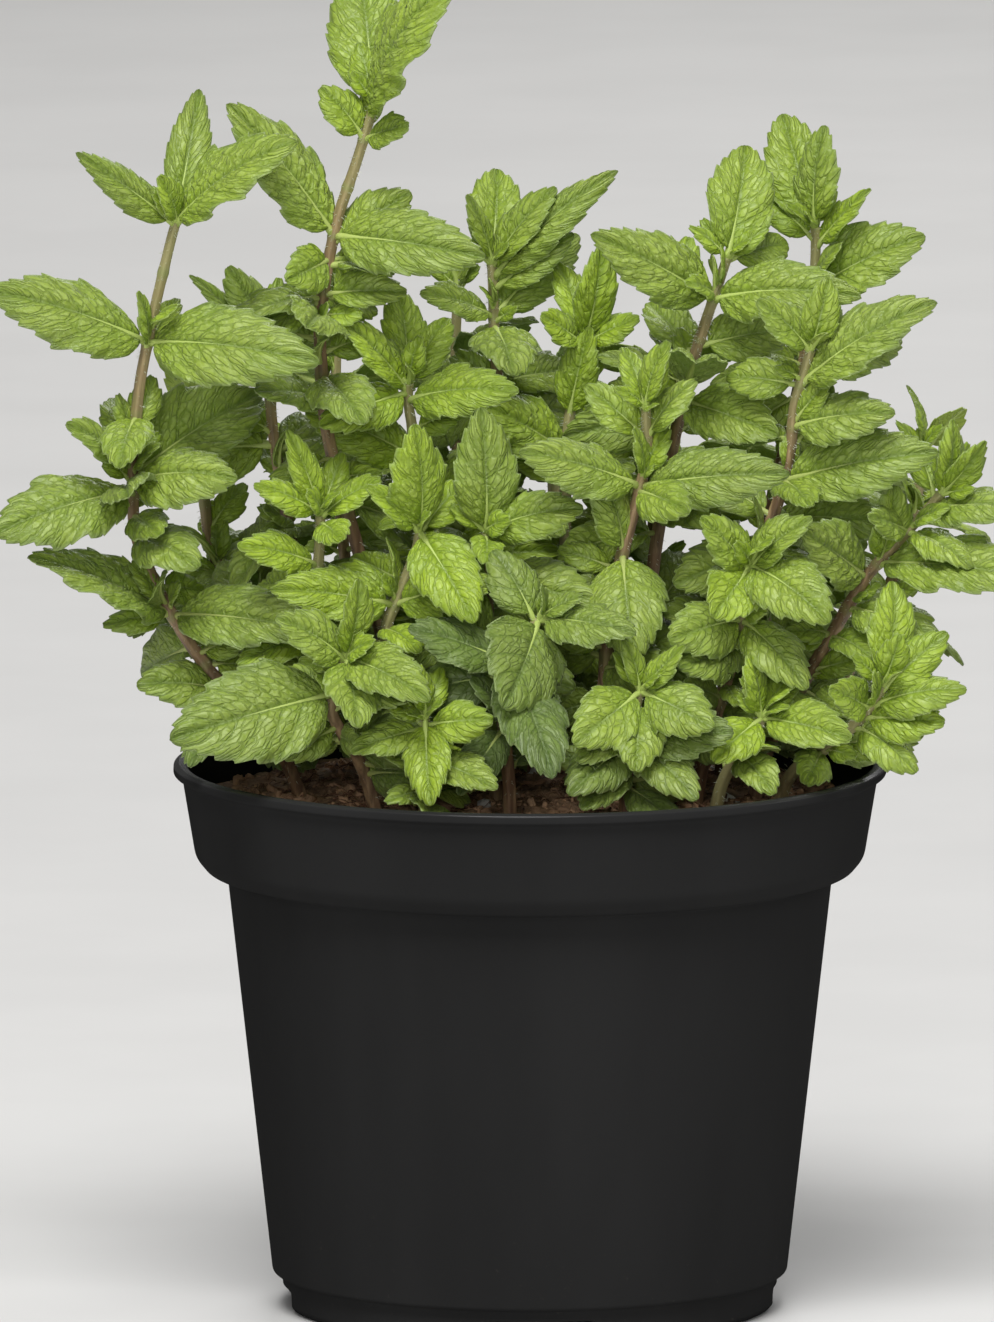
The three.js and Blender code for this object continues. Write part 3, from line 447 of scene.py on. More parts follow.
class Patches:
    """Grids of points gathered into one mesh, with what its finish reads at each point."""

    def __init__(self):
        self.rows, self.count = [], 0

    def add(self, points, quads, looks, edges=0.0, veins=None, bakes=None):
        """Points in millimetres, looks of four numbers a point, veins and bakes as UVs of corners."""
        number = len(points)
        self.rows.append((points * MM, quads + self.count, np.broadcast_to(looks, (number, 4)),
                          np.broadcast_to(edges, number), veins, bakes))
        self.count += number

    def piece(self, name, finish, slot, *nodes):
        """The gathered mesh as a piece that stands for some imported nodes."""
        points, quads, looks, edges, veins, bakes = (
            None if column[0] is None else np.concatenate(column) for column in zip(*self.rows))
        mesh = bpy.data.meshes.new(name)

        def fill(items, field, values, kind=np.float32):
            items.foreach_set(field, values.astype(kind).ravel())

        mesh.vertices.add(len(points))
        fill(mesh.vertices, "co", points)
        mesh.loops.add(quads.size)
        fill(mesh.loops, "vertex_index", quads, np.int32)
        mesh.polygons.add(len(quads))
        fill(mesh.polygons, "loop_start", np.arange(0, quads.size, 4), np.int32)
        fill(mesh.polygons, "use_smooth", np.ones(len(quads)), bool)
        mesh.update(calc_edges=True)
        fill(mesh.attributes.new("look", "FLOAT_COLOR", "POINT").data, "color", looks)
        fill(mesh.attributes.new("edge", "FLOAT", "POINT").data, "value", edges)
        for layer, values in (("Veins", veins), ("OFBake", bakes)):
            if values is not None:
                fill(mesh.uv_layers.new(name=layer).data, "uv", values)
        finished(placed(name, mesh), finish, slot, *nodes)


def grid_quads(rows, columns, closed=False):
    """Quads of a grid, numbered row by row. A closed one joins its last column to its first."""
    i, j = np.meshgrid(np.arange(rows - 1), np.arange(columns - (not closed)), indexing="ij")
    k = (j + 1) % columns
    a, b = i * columns, (i + 1) * columns
    return np.stack([a + j, a + k, b + k, b + j], -1).reshape(-1, 4)


def ring(sides):
    """Places evenly round a circle of radius 1."""
    angle = np.linspace(0, 2 * np.pi, sides, endpoint=False)
    return np.stack([np.cos(angle), np.sin(angle)], -1)


CAP_R = 0.02  # of a tube's end ring, as a share of the ring next to it


def tube(path, radii, section, looks, cap=True):
    """A tube of rings along a path, drawn in at both ends if it has caps."""
    path = np.asarray(path, float)
    ahead = np.gradient(path, axis=0)
    ahead /= np.linalg.norm(ahead, axis=1)[:, None]
    right = np.cross(ahead, [0.13, 0.97, 0.21])
    right /= np.linalg.norm(right, axis=1)[:, None]
    back = np.cross(ahead, right)
    if cap:
        path, right, back, radii, looks = (np.concatenate([v[:1], v, v[-1:]])
                                           for v in (path, right, back, radii, looks))
        radii[[0, -1]] *= CAP_R
    rings = section[None] * radii[:, None, None]
    points = path[:, None] + rings[..., :1] * right[:, None] + rings[..., 1:] * back[:, None]
    sides = len(section)
    quads = grid_quads(len(path), sides, closed=True)
    return points.reshape(-1, 3), quads, np.repeat(looks, sides, axis=0)


# -------- fine blades

VEIN_STEP = 4.4  # between a blade's side veins
TOOTH_STEP = 2.6
TOOTH = 0.085  # depth of a tooth as a share of the half width
CELL = 1.9  # across a pucker between the veins
NET = 32  # cells in a row of the net of puckers, before it repeats
PUCKER = 1.1  # how high the puckers of a great leaf stand, at most
RUFFLE = 0.05  # of the margin, as a share of the width
CUP = 0.16  # how far the margins turn down, as a share of the width
TWIST = 0.12
TOOTH_FALL = 0.22  # share of a tooth's length on which it falls back
GREAT_LEAF = 26
SMALL_LEAF = 9  # one this long or shorter has a coarser grid
BAKE_BORDER = 0.04  # round each face's tile in the map, for the rim
AGES = {"young": 0.2, "full": 0.5, "old": 0.85}


def outline(s):
    """Half the width of an egg-shaped, pointed blade, at a share s of its length."""
    return 2.435 * s**0.5 * (1 - s) ** 0.85


def puckers(u, v, rng):
    """Domes over a net of uneven cells: 0 at their borders, 1 in the middle."""
    jitter = rng.random((NET, NET, 2)) * 0.8 + 0.1
    cu, cv = np.floor(u).astype(int), np.floor(v).astype(int)
    near = []
    for du in (-1, 0, 1):
        for dv in (-1, 0, 1):
            spot = jitter[(cu + du) % NET, (cv + dv) % NET]
            near.append(np.hypot(cu + du + spot[..., 0] - u, cv + dv + spot[..., 1] - v))
    first, second = np.sort(near, axis=0)[:2]
    x = np.clip((second - first) / 0.6, 0, 1)
    return x * (2 - x)


def blade(leaf, age, tile, rng, patches):
    """A fine blade: toothed, veined, puckered between its veins and ruffled at the margin."""
    teeth = int(np.clip(round(leaf.length / TOOTH_STEP), 3, 11))
    veins = int(np.clip(round(leaf.length / VEIN_STEP), 2, 7))
    rows = (7 if leaf.length > SMALL_LEAF else 5) * teeth + 5
    columns = 2 * int(np.clip(leaf.width * 0.95, 3, 15)) + 3
    t, a = np.meshgrid(np.linspace(0, 1, rows), np.linspace(-1, 1, columns), indexing="ij")
    s = t - 0.06 * np.sin(2 * np.pi * t)
    size = np.clip(leaf.length / GREAT_LEAF, 0.25, 1) * (0.5 + 0.5 * rng.random())

    # the outline and its teeth
    depths = TOOTH * (0.5 + rng.random((2, teeth + 1)))
    depth = depths[(a > 0).astype(int), np.minimum((t * teeth).astype(int), teeth)]
    saw = (t * teeth) % 1
    rise = 1 - TOOTH_FALL
    tooth = np.where(saw < rise, (saw / rise) ** 0.8, (1 - saw) / TOOTH_FALL)
    calm = np.clip(s / 0.15, 0, 1) * np.clip((1 - s) / 0.06, 0, 1)
    half = leaf.width / 2 * outline(s) * (1 - depth * (1 - tooth) * calm)
    half = np.maximum(half, 0.35 * (1 - s) + 0.1)
    forward = 0.35 / teeth * tooth * calm * np.abs(a) ** 6
    across = a * half

    # the relief: arches between the side veins, puckers on them, and the bends of the whole blade
    order = veins * (s - 0.2 * np.abs(a) - 0.08 * a * a)
    arch = np.abs(np.sin(np.pi * order)) ** 0.5
    u, v = order * leaf.length / veins / CELL, across / CELL + 16
    cell = puckers(u + 0.25 * np.sin(v * 2.1), v + 0.25 * np.sin(u * 1.7), rng)
    inner = (1 - np.abs(a) ** 5) * (1 - np.exp(-((across / 0.8) ** 2)))
    dome = (0.68 - 0.3 * max(0, 2 * age - 1)) * cell * np.minimum(1, 0.35 + arch)
    height = inner * (0.32 * arch + dome)
    wave = np.sin(2 * np.pi * (order * 0.5 + rng.random()))
    wave = wave + 0.6 * np.sin(2 * np.pi * (order * 0.27 + rng.random()))
    bend = RUFFLE * wave * np.abs(a) ** 2.5 * calm - CUP * (0.4 + rng.random()) * a * a
    bend = (bend + TWIST * rng.normal() * a * (s - 0.35)) * half * 2
    soft = math.sin(leaf.fold) * (np.sqrt(across**2 + 0.8) - 0.9 - np.abs(across))
    groove = 0.3 * np.exp(-((across / 0.35) ** 2))
    up = PUCKER * size * (height - groove) + bend + soft * np.minimum(1, half)
    share = leaf.stalk + (s + forward) * (1 - leaf.stalk)
    thick = BLADE * (1 - 0.5 * a**6)

    # both faces, the rim between them, and their maps
    quads = grid_quads(rows, columns)
    number = rows * columns
    looks = np.empty((number, 4))
    looks[:] = [0, age, 0, 0]
    looks[:, 0], looks[:, 2] = height.ravel(), s.ravel()
    under = looks.copy()
    under[:, 3] = 1
    points = [leaf.place(share, across, up + face * thick / 2).reshape(-1, 3) for face in (1, -1)]
    border = np.concatenate([
        np.arange(columns), columns * np.arange(1, rows) + columns - 1,
        number - 2 - np.arange(columns - 1), columns * np.arange(rows - 2, 0, -1)])
    after = np.roll(border, -1)
    rim = np.stack([border, border + number, after + number, after], -1)
    flat = np.stack([t, (a + 1) / 2], -1).reshape(-1, 2)
    inside = BAKE_BORDER + (1 - 2 * BAKE_BORDER) * flat
    outside = 0.5 + (flat - 0.5) * (1 - 0.4 * BAKE_BORDER)
    bakes = [tile(0, inside), tile(1, inside)]
    rim_bake = np.stack([bakes[0][border], tile(0, outside)[border], tile(0, outside)[after],
                         bakes[0][after]], 1)
    vein = np.stack([order, across], -1).reshape(-1, 2)
    patches.add(
        np.concatenate(points),
        np.concatenate([quads, quads[:, ::-1] + number, rim]),
        np.concatenate([looks, under]),
        np.tile(np.abs(a).ravel(), 2),
        np.concatenate([vein[quads], vein[quads[:, ::-1]],
                        np.stack([vein[border], vein[border], vein[after], vein[after]], 1)]),
        np.concatenate([bakes[0][quads], bakes[1][quads[:, ::-1]], rim_bake]),
    )


RIB_RINGS = 16


def rib(leaf, age, patches):
    """The leaf's stalk, which runs on below the blade as its midrib."""
    size = np.clip(leaf.length / GREAT_LEAF, 0.35, 1)
    share = np.linspace(0, 0.94, RIB_RINGS)
    s = np.clip((share - leaf.stalk) / (1 - leaf.stalk), 0, 1)
    below = -0.3 * size * np.clip(s / 0.1, 0, 1) - 0.12
    path = leaf.place(share, np.zeros(RIB_RINGS), below)
    radii = (0.62 * (1 - s) ** 1.3 + 0.1) * (0.45 + 0.55 * size)
    patches.add(*tube(path, radii, ring(8), np.tile([leaf.t, 1.0, age, 0.0], (RIB_RINGS, 1))))


SQUARE_SIDES = 20  # of the ring that is drawn in to a square
JOINT_SWELL = 0.16
STEM_FIT = 0.93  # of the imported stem's half diagonal, which the fine one's corners keep within


def stalk(stem, green, patches):
    """The square stem with rounded corners and hollowed sides, a little thicker at its joints."""
    count = 14 * stem.last
    shares = np.linspace(0, 1, count)
    blur = 0.22 / stem.last
    spread = (-blur, -blur / 2, 0, blur / 2, blur)
    path = np.array([np.mean([stem.point(np.clip(t + d, 0, 1)) for d in spread], axis=0)
                     for t in shares])
    joint = np.abs(shares * stem.last - np.round(shares * stem.last))
    joint[shares * stem.last < 1.5] = 0.5
    swell = 1 + JOINT_SWELL * np.exp(-((joint / 0.07) ** 2))
    radii = np.array([stem.half(t) for t in shares]) * swell * STEM_FIT
    angle = np.linspace(0, 2 * np.pi, SQUARE_SIDES, endpoint=False)
    section = ring(SQUARE_SIDES) * (0.8 + 0.2 * np.cos(2 * angle) ** 2)[:, None]
    looks = np.stack([shares, np.zeros(count), np.full(count, green), joint * 2], -1)
    patches.add(*tube(path, radii, section, looks))


def tiles(number):
    """Where each leaf's two faces lie in the piece's map, as a function of leaf, face and places."""
    across = math.ceil(math.sqrt(number))
    down = math.ceil(2 * number / across)

    def tile(leaf, face, places):
        column, row = (2 * leaf + face) % across, (2 * leaf + face) // across
        return (places + [column, row]) / [across, down]

    return tile


GROWN_LEAF = 22  # the length from which a leaf doesn't look young
OLD_AND_SHADED_BELOW = 125  # height under which leaves look older and darker: partly their age, partly painted shade under the canopy
OLD_AND_SHADED_FALL = 40


def age_of(plan, leaf, rng):
    """From 0 for the young tips to 1 for the old leaves near the mix; low leaves get older, darker
    colours, partly real age and partly painted shade under the canopy.
    """
    small = 1 - min(leaf.length / GROWN_LEAF, 1)
    # low down: older colours, partly real age and partly painted shade from the canopy above
    low = max(0, (OLD_AND_SHADED_BELOW - leaf.base[2]) / OLD_AND_SHADED_FALL)
    return float(np.clip(AGES[plan["colour"]] - 0.45 * small + 0.6 * low - 0.1 * (leaf.t > 0.9)
                         + (rng.random() - 0.5) * 0.2, 0, 1))


CUBE = 1.6  # across one of the room's cubes
CUBES = 400  # in a row of the room
ROOM_STEP = 1.1  # between the points of a leaf that are looked at
BARE_MIX = [(-58, -27), (31, 62)]  # how far right the mix is seen in front
BARE_TOP = 99  # how high up
BARE_BACK = 30  # and how far back
CLEAR = 1.5  # between a small leaf and the mix or the lip
INSET = 1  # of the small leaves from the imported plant's box
NEAR_STEM = 0.35  # share of a small leaf, from its stem on, that isn't looked at
LOW_LEAVES = 26  # tried on each stem
BEARER = 12  # the shortest leaf with a shoot in its axil
BARE_AXILS = 0.3  # share of the axils without one
TUFT = 5
SHOOT_MEETS = 0.2  # share of a shoot's leaf that may stand in others
TUFT_MEETS = 0.5
SMALL_TRIES = 14  # how many of the changes a small leaf tries


class Room:
    """Which small cubes of the air are taken by a leaf."""

    def __init__(self):
        self.taken = set()

    def cubes(self, leaf, start=0.0):
        """The cubes that a blade passes through, from a share of its length on."""
        s, a = np.meshgrid(np.linspace(max(start, 0.02), 0.98, int(leaf.length / ROOM_STEP) + 2),
                           np.linspace(-1, 1, int(leaf.width / ROOM_STEP) + 2), indexing="ij")
        share = leaf.stalk + s * (1 - leaf.stalk)
        points = leaf.place(share, a * outline(s) * leaf.width / 2, 0.4).reshape(-1, 3)
        keys = np.floor(points / CUBE).astype(int) + CUBES // 2
        return set((keys @ [1, CUBES, CUBES**2]).tolist()), points

    def take(self, leaf):
        self.taken |= self.cubes(leaf)[0]

    @staticmethod
    def hides_mix(points):
        """Whether a leaf stands before one of the places in front where the mix is seen."""
        seen_height = points[:, 2] * math.cos(VIEW_TILT) + points[:, 1] * math.sin(VIEW_TILT)
        return any(((points[:, 0] > left) & (points[:, 0] < right) & (seen_height < BARE_TOP)
                    & (points[:, 1] < BARE_BACK)).any() for left, right in BARE_MIX)

    def free(self, leaf, allowed):
        """Whether a new leaf is clear of the others and the pot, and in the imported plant's box."""
        cubes, points = self.cubes(leaf, NEAR_STEM)
        low, high = (np.array(corner) / MM for corner in cad_box)
        if (points < low + INSET).any() or (points > high - INSET).any():
            return False
        reach = np.hypot(points[:, 0], points[:, 1])
        floor = np.where(reach < SOIL_R - 4, SOIL_Z, POT_HEIGHT) + CLEAR
        if (points[:, 2] < floor).any() or self.hides_mix(points):
            return False
        return len(cubes & self.taken) <= allowed * len(cubes)


def small_leaves(stem, leaves, rng, room):
    """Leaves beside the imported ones: shoots in their axils, a tuft at the tip and some low down."""
    grown = []

    def put(at, chord, length, wide, allowed):
        spec = dict(at=at, chord=unit(chord), length=length, width=length * wide, open=FRONT,
                    bow=0.3 + 0.7 * rng.random(), fold=0.15 + 0.4 * rng.random(),
                    roll=rng.normal() * 0.3)
        for change in TRIES[:SMALL_TRIES]:
            leaf = Leaf(stem, spec, change)
            if room.free(leaf, allowed):
                room.take(leaf)
                grown.append(leaf)
                return

    for leaf in leaves:
        along = stem.along(leaf.t)
        if leaf.length < BEARER or rng.random() < BARE_AXILS:
            continue
        for k in range(2 + (rng.random() < 0.5)):
            lean = leaf.side * rng.normal() * 0.5 + leaf.normal * 0.2
            chord = leaf.chord * 0.75 + along * (0.7 + 0.3 * k) + lean
            put(min(leaf.t + 0.01 + 0.01 * k, HIGHEST), chord,
                5 + 7 * rng.random(), 0.52 + 0.15 * rng.random(), SHOOT_MEETS)
    along = stem.along(HIGHEST)
    across = unit(np.cross(along, [0.2, 0.9, 0.1]))
    for k in range(TUFT):
        out = turned(across, along, k * 1.75 + rng.random())
        put(HIGHEST, along * (0.75 + 0.25 * k) + out * 0.9, 8.5 - 1.2 * k, 0.5, TUFT_MEETS)
    for _ in range(LOW_LEAVES):
        at = (1.12 + (0.7 * stem.last - 1.12) * rng.random()) / stem.last
        along = stem.along(at)
        turn = rng.random() * 2 * math.pi
        out = np.array([math.cos(turn), math.sin(turn), 0.25 * rng.normal()])
        chord = out + along * 0.25 * rng.normal()
        put(at, chord, 10 + 13 * rng.random(), 0.55 + 0.12 * rng.random(), 0)
    return grown


def grow(number, plan):
    """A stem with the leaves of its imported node."""
    stem = Stem(plan)
    draw = draws(number + 1)
    tree = packed_tree("stem_" + plan["name"])
    specs = list(read_leaves(plan, stem, draw))
    if "grown" in plan:
        specs += grown_leaves(plan, stem, draw)
    return stem, [leaf for leaf in (settled(stem, spec, tree) for spec in specs) if leaf]


def dress(number, plan, stem, leaves, room, green, bark):
    """One leafy stem, as its blades and its stalks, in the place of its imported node."""
    rng = np.random.default_rng(number + 1)
    node = "stem_" + plan["name"]
    leaves = leaves + small_leaves(stem, leaves, rng, room)
    tile = tiles(len(leaves))
    blades, stalks = Patches(), Patches()
    for i, leaf in enumerate(leaves):
        age = age_of(plan, leaf, rng)
        blade(leaf, age, partial(tile, i), rng, blades)
        rib(leaf, age, stalks)
    stalk(stem, float(plan["colour"] == "young"), stalks)
    blades.piece("leaves_" + plan["name"], green, "foliage", node)
    stalks.piece("stalks_" + plan["name"], bark, "foliage", node)


# -------- finishes


class Signal:
    """A number, colour or vector in a finish. Arithmetic on it adds Math nodes."""

    def __init__(self, finish, socket):
        self.finish, self.socket = finish, socket

    def math(self, operation, first, second=0.0):
        return self.finish.node("Math", {0: first, 1: second}, operation=operation)

    def __add__(self, other):
        return self.math("ADD", self, other)

    __radd__ = __add__

    def __sub__(self, other):
        return self.math("SUBTRACT", self, other)

    def __rsub__(self, other):
        return self.math("SUBTRACT", other, self)

    def __mul__(self, other):
        return self.math("MULTIPLY", self, other)

    __rmul__ = __mul__

    def __abs__(self):
        return self.math("ABSOLUTE", self)

    def most(self, other):
        """The greater of the two."""
        return self.math("MAXIMUM", self, other)


class Finish:
    """A material in the making."""

    def __init__(self, name):
        self.material = bpy.data.materials.new(name)
        self.material.use_nodes = True
        self.tree = self.material.node_tree
        self.tree.nodes.clear()
        self.place = self.node("TexCoord", {}, out="Object")

    def node(self, kind, sockets, out=0, **settings):
        """Adds a node: its settings, then its sockets' values or links. Gives one of its outputs."""
        node = self.tree.nodes.new("ShaderNode" + kind)
        for setting, value in settings.items():
            setattr(node, setting, value)
        for socket, value in sockets.items():
            if isinstance(value, Signal):
                self.tree.links.new(value.socket, node.inputs[socket])
            else:
                node.inputs[socket].default_value = value
        return Signal(self, node.outputs[out])

    def parts(self, value, kind="SeparateColor"):
        """The three numbers of a colour or a vector."""
        node = self.node(kind, {0: value}).socket.node
        return [Signal(self, output) for output in node.outputs]

    def smooth(self, value, low, high, to_low=0.0, to_high=1.0):
        """value's way from low to high, eased, from to_low to to_high."""
        return self.node("MapRange", {0: value, 1: low, 2: high, 3: to_low, 4: to_high},
                         interpolation_type="SMOOTHSTEP")

    def blend(self, part, first, second):
        """A colour: first where part is 0, second where it is 1. Either may be given as digits."""
        first, second = (colour(c) if isinstance(c, str) else c for c in (first, second))
        return self.node("Mix", {0: part, 6: first, 7: second}, out=2, data_type="RGBA")

    def grain(self, size, detail=3.0, place=None, rough=0.55):
        """Uneven noise with lumps of about size millimetres, around 0.5."""
        return self.node("TexNoise", {"Vector": place or self.place, "Scale": 0.7 / (size * MM),
                                      "Detail": detail, "Roughness": rough})

    def stretched(self, *shares):
        """Places for a grain that is drawn out where a share is small."""
        return self.node("VectorMath", {0: self.place, 1: shares}, operation="MULTIPLY")

    def vertex(self, name, out="Fac"):
        return self.node("Attribute", {}, out=out, attribute_name=name)

    def bump(self, height, depth, strength=1.0):
        """Relief of a height from 0 to 1, depth millimetres deep."""
        return self.node("Bump", {"Height": height, "Distance": depth * MM, "Strength": strength})

    def surface(self, skin, rough, specular=0.5, **others):
        """A surface. The others are its sockets by name, with _ for a space."""
        return self.node("BsdfPrincipled", {
            "Base Color": skin, "Roughness": rough, "Specular IOR Level": specular,
            **{name.replace("_", " "): value for name, value in others.items()}})

    def done(self, shader):
        output = self.tree.nodes.new("ShaderNodeOutputMaterial")
        self.tree.links.new(shader.socket, output.inputs[0])
        return self.material


def colour(code):
    """A linear colour from its six hexadecimal digits."""
    parts = [int(code[i:i + 2], 16) / 255 for i in (0, 2, 4)]
    return (*[p / 12.92 if p <= 0.04045 else ((p + 0.055) / 1.055) ** 2.4 for p in parts], 1.0)


def leaf_finish():
    """Satin green with painted highlights on the puckers and painted shade in the furrows, paler along
    the veins and the margin, yellower when young, matt and pale below.
    """
    f = Finish("mint_leaf")
    quilt, age, way = f.parts(f.vertex("look", "Color"))
    under, edge = f.vertex("look", "Alpha"), f.vertex("edge")
    order, across, _ = f.parts(f.node("UVMap", {}, uv_map="Veins"), "SeparateXYZ")
    blotch, fine = f.grain(7.0, 2.0), f.grain(0.35)

    # a net of small veins, the side veins and the midrib
    flat = f.node("CombineXYZ", {
        0: order * 2.6 + blotch, 1: across * 0.62 + fine * 0.25, 2: age * 9.0})
    net = f.node("TexVoronoi", {"Vector": flat, "Scale": 1.0}, out="Distance",
                 feature="DISTANCE_TO_EDGE")
    net = f.smooth(net, 0.02, 0.15)
    near = abs(f.node("Math", {0: order + 0.5, 1: 1.0}, operation="FRACT") - 0.5)
    lateral = f.smooth(near + fine * 0.04, 0.085, 0.03)
    lines = ((1 - net) * f.smooth(age, 0.95, 0.45, 0.3, 0.6)).most(lateral)
    midrib = f.smooth(abs(across), 0.2, 0.06) * f.smooth(way, 0.85, 0.2)
    rib = f.smooth(abs(across), 0.4, 0.15).most(lateral * 0.6)

    # the upper face
    green = f.blend(f.smooth(age, 0.1, 0.5), "a9c432", "9bb046")
    green = f.blend(f.smooth(age, 0.5, 0.95), green, "677c38")
    root = f.smooth(way, 0.55, 0.0) * f.smooth(age, 0.9, 0.2)
    green = f.blend(root * 0.6, green, "9fbd1c")
    green = f.blend(f.smooth(blotch, 0.4, 0.62) * 0.35, green, "84a037")
    # painted highlight: the crests of the puckers are paler, as if lit from above
    crest_highlight = f.smooth(quilt, 0.5, 0.95) * net
    green = f.blend(crest_highlight * 0.3, green, f.blend(age, "c9dc70", "b2c486"))
    # painted shade: darker olive down in the furrows and along the vein lines
    furrow_shade = f.smooth(quilt, 0.45, 0.05).most(lines)
    green = f.blend(furrow_shade * 0.66, green, f.blend(age, "6f8a14", "435a1e"))
    green = f.blend(midrib * 0.5, green, "b3c684")
    top = f.blend(f.smooth(edge, 0.93, 0.995) * 0.3, green, "c6d894")

    # the face below, and what both share
    below = f.blend(f.smooth(age, 0.1, 0.9), "a9bc4c", "8da468")
    below = f.blend(rib * 0.6, below, "c8d4a0")
    skin = f.blend(under, top, below)
    skin = f.blend(f.smooth(fine, 0.35, 0.75) * 0.12, skin, "d5e0ac")
    rough = f.smooth(under * 0.6 + fine * 0.5, 0.0, 1.0, 0.38, 0.72)
    relief = f.bump(net * (1 - lateral) * 0.75 + fine * 0.35, 0.25, 0.85)
    surface = f.surface(skin, rough, Normal=relief, Sheen_Weight=0.05, Sheen_Roughness=0.4)
    through = f.node("BsdfTranslucent", {"Color": colour("98be34")})
    return f.done(f.node("MixShader", {0: 0.22, 1: surface, 2: through}))


def stem_finish():
    """Purple brown at the foot, turning green and tan towards the tip, with lengthwise streaks."""
    f = Finish("mint_stem")
    share, petiole, green = f.parts(f.vertex("look", "Color"))
    joint = f.vertex("look", "Alpha")
    streak = f.grain(0.9, 4.0, f.stretched(1.0, 1.0, 0.12))
    mottle = f.grain(4.0, 2.0)
    young = f.smooth(share + green * 0.5 + (mottle - 0.5) * 0.5, 0.55, 0.98)
    bark = f.blend(f.smooth(streak, 0.35, 0.65), "6d5843", "a58a67")
    bark = f.blend(f.smooth(mottle, 0.45, 0.6) * 0.35, bark, "77503f")
    bark = f.blend(young, bark, f.blend(streak, "8d8a5c", "a9a070"))
    bark = f.blend(f.smooth(joint, 0.25, 0.0) * (1 - petiole) * 0.35, bark, "77914a")
    stalk = f.blend(f.smooth(share, 0.9, 0.3) * 0.35, "a9bd5c", "7d6a4c")
    skin = f.blend(petiole, bark, f.blend(streak * 0.4, stalk, "c7d28c"))
    return f.done(f.surface(skin, f.smooth(streak, 0.2, 0.8, 0.42, 0.62), 0.4,
                            Normal=f.bump(streak, 0.15, 0.6)))


def hair_finish():
    f = Finish("mint_hair")
    return f.done(f.surface(f.blend(f.grain(0.4), "cfd6b8", "e6ead8"), f.grain(1.0) * 0.3 + 0.4))


def pot_finish():
    """Black moulded plastic: matt, faintly clouded and pebbled, a little dusty low down, with a lip
    that handling has polished."""
    f = Finish("nursery_pot")
    cloud = f.grain(26.0, 3.0, f.stretched(1.0, 1.0, 0.25))
    pebble = f.grain(0.5, 2.0)
    dust = f.smooth(f.grain(1.6, 6.0, rough=0.75), 0.62, 0.74)
    height = f.node("SeparateXYZ", {0: f.place}, out=2)
    low = f.smooth(height, 0.03, 0.0, 0.1, 1.0)
    worn = f.smooth(height, (POT_HEIGHT - 0.8) * MM, (POT_HEIGHT - 0.4) * MM, 0.01, 0.5)
    skin = f.blend(f.smooth(cloud, 0.3, 0.7), "252525", "2a2a2a")
    skin = f.blend(dust * low * 0.12, skin, "8b8276")
    return f.done(f.surface(
        skin, f.smooth(cloud * 0.6 + pebble * 0.4, 0.3, 0.7, 0.5, 0.62), 0.0,
        Coat_Weight=worn, Coat_Roughness=0.25, Normal=f.bump(pebble, 0.05, 0.35)))


def mix_finish():
    """Moist peat and bark: brown and tan on the grains, with painted shade that turns the hollows near
    black.
    """
    f = Finish("potting_mix")
    tone, perlite, hollow = f.parts(f.vertex("look", "Color"))
    lump = f.grain(2.2, 5.0, rough=0.65)
    fine = f.grain(0.4, 4.0, rough=0.7)
    strand = f.smooth(f.grain(0.7, 3.0, f.stretched(1.0, 0.22, 0.8)), 0.52, 0.66)
    brown = f.blend(f.smooth(lump, 0.35, 0.68), "6b5541", "bf9c7a")
    brown = f.blend(tone, brown, "c49a78")
    brown = f.blend(strand * 0.55, brown, "b8916c")
    brown = f.blend(f.smooth(fine, 0.6, 0.8) * 0.35, brown, "cfb091")
    # painted shade in the hollows
    brown = f.blend(hollow * 0.6, brown, "1c140f")
    skin = f.blend(perlite, brown, f.blend(fine, "cfc8bd", "f0ece4"))
    return f.done(f.surface(skin, f.smooth(fine, 0.3, 0.7, 0.72, 0.95), 0.25,
                            Normal=f.bump(lump * 0.6 + fine * 0.4, 0.9, 0.8)))


def fibre_finish():
    f = Finish("peat_fibre")
    skin = f.blend(f.smooth(f.vertex("look"), 0.0, 1.0), "5a3a29", "b08a66")
    skin = f.blend(f.grain(0.6) * 0.4, skin, "2a1a12")
    return f.done(f.surface(skin, f.grain(1.0) * 0.3 + 0.6, 0.3))


def floor_finish():
    f = Finish("pale_floor")
    return f.done(f.surface(f.blend(f.smooth(f.grain(60.0), 0.3, 0.7), "cfcecc", "d3d2d0"), 0.7))


# -------- pot

BAR_DEPTH = 14  # of the block that cuts a notch right through the foot ring
BAR_HEIGHT = 10
DRILL = 10  # how far a drill reaches above and below the ground
DRILL_SIDES = 32
SHARP = 38  # degrees between faces that meet in a sharp edge


def rounded(profile):
    """A profile of radius, height and rounding, as places with the corners rounded."""
    places = np.array(profile, float)[:, :2]
    points = []
    for i, (here, reach) in enumerate(zip(places, [row[2] for row in profile])):
        if not reach:
            points.append(here)
            continue
        before, after = places[i - 1] - here, places[i + 1] - here
        reach = min(reach, 0.45 * np.linalg.norm(before), 0.45 * np.linalg.norm(after))
        start, end = here + unit(before) * reach, here + unit(after) * reach
        for w in np.linspace(0, 1, 5):
            points.append(start * (1 - w) ** 2 + 2 * here * w * (1 - w) + end * w**2)
    return np.array(points)


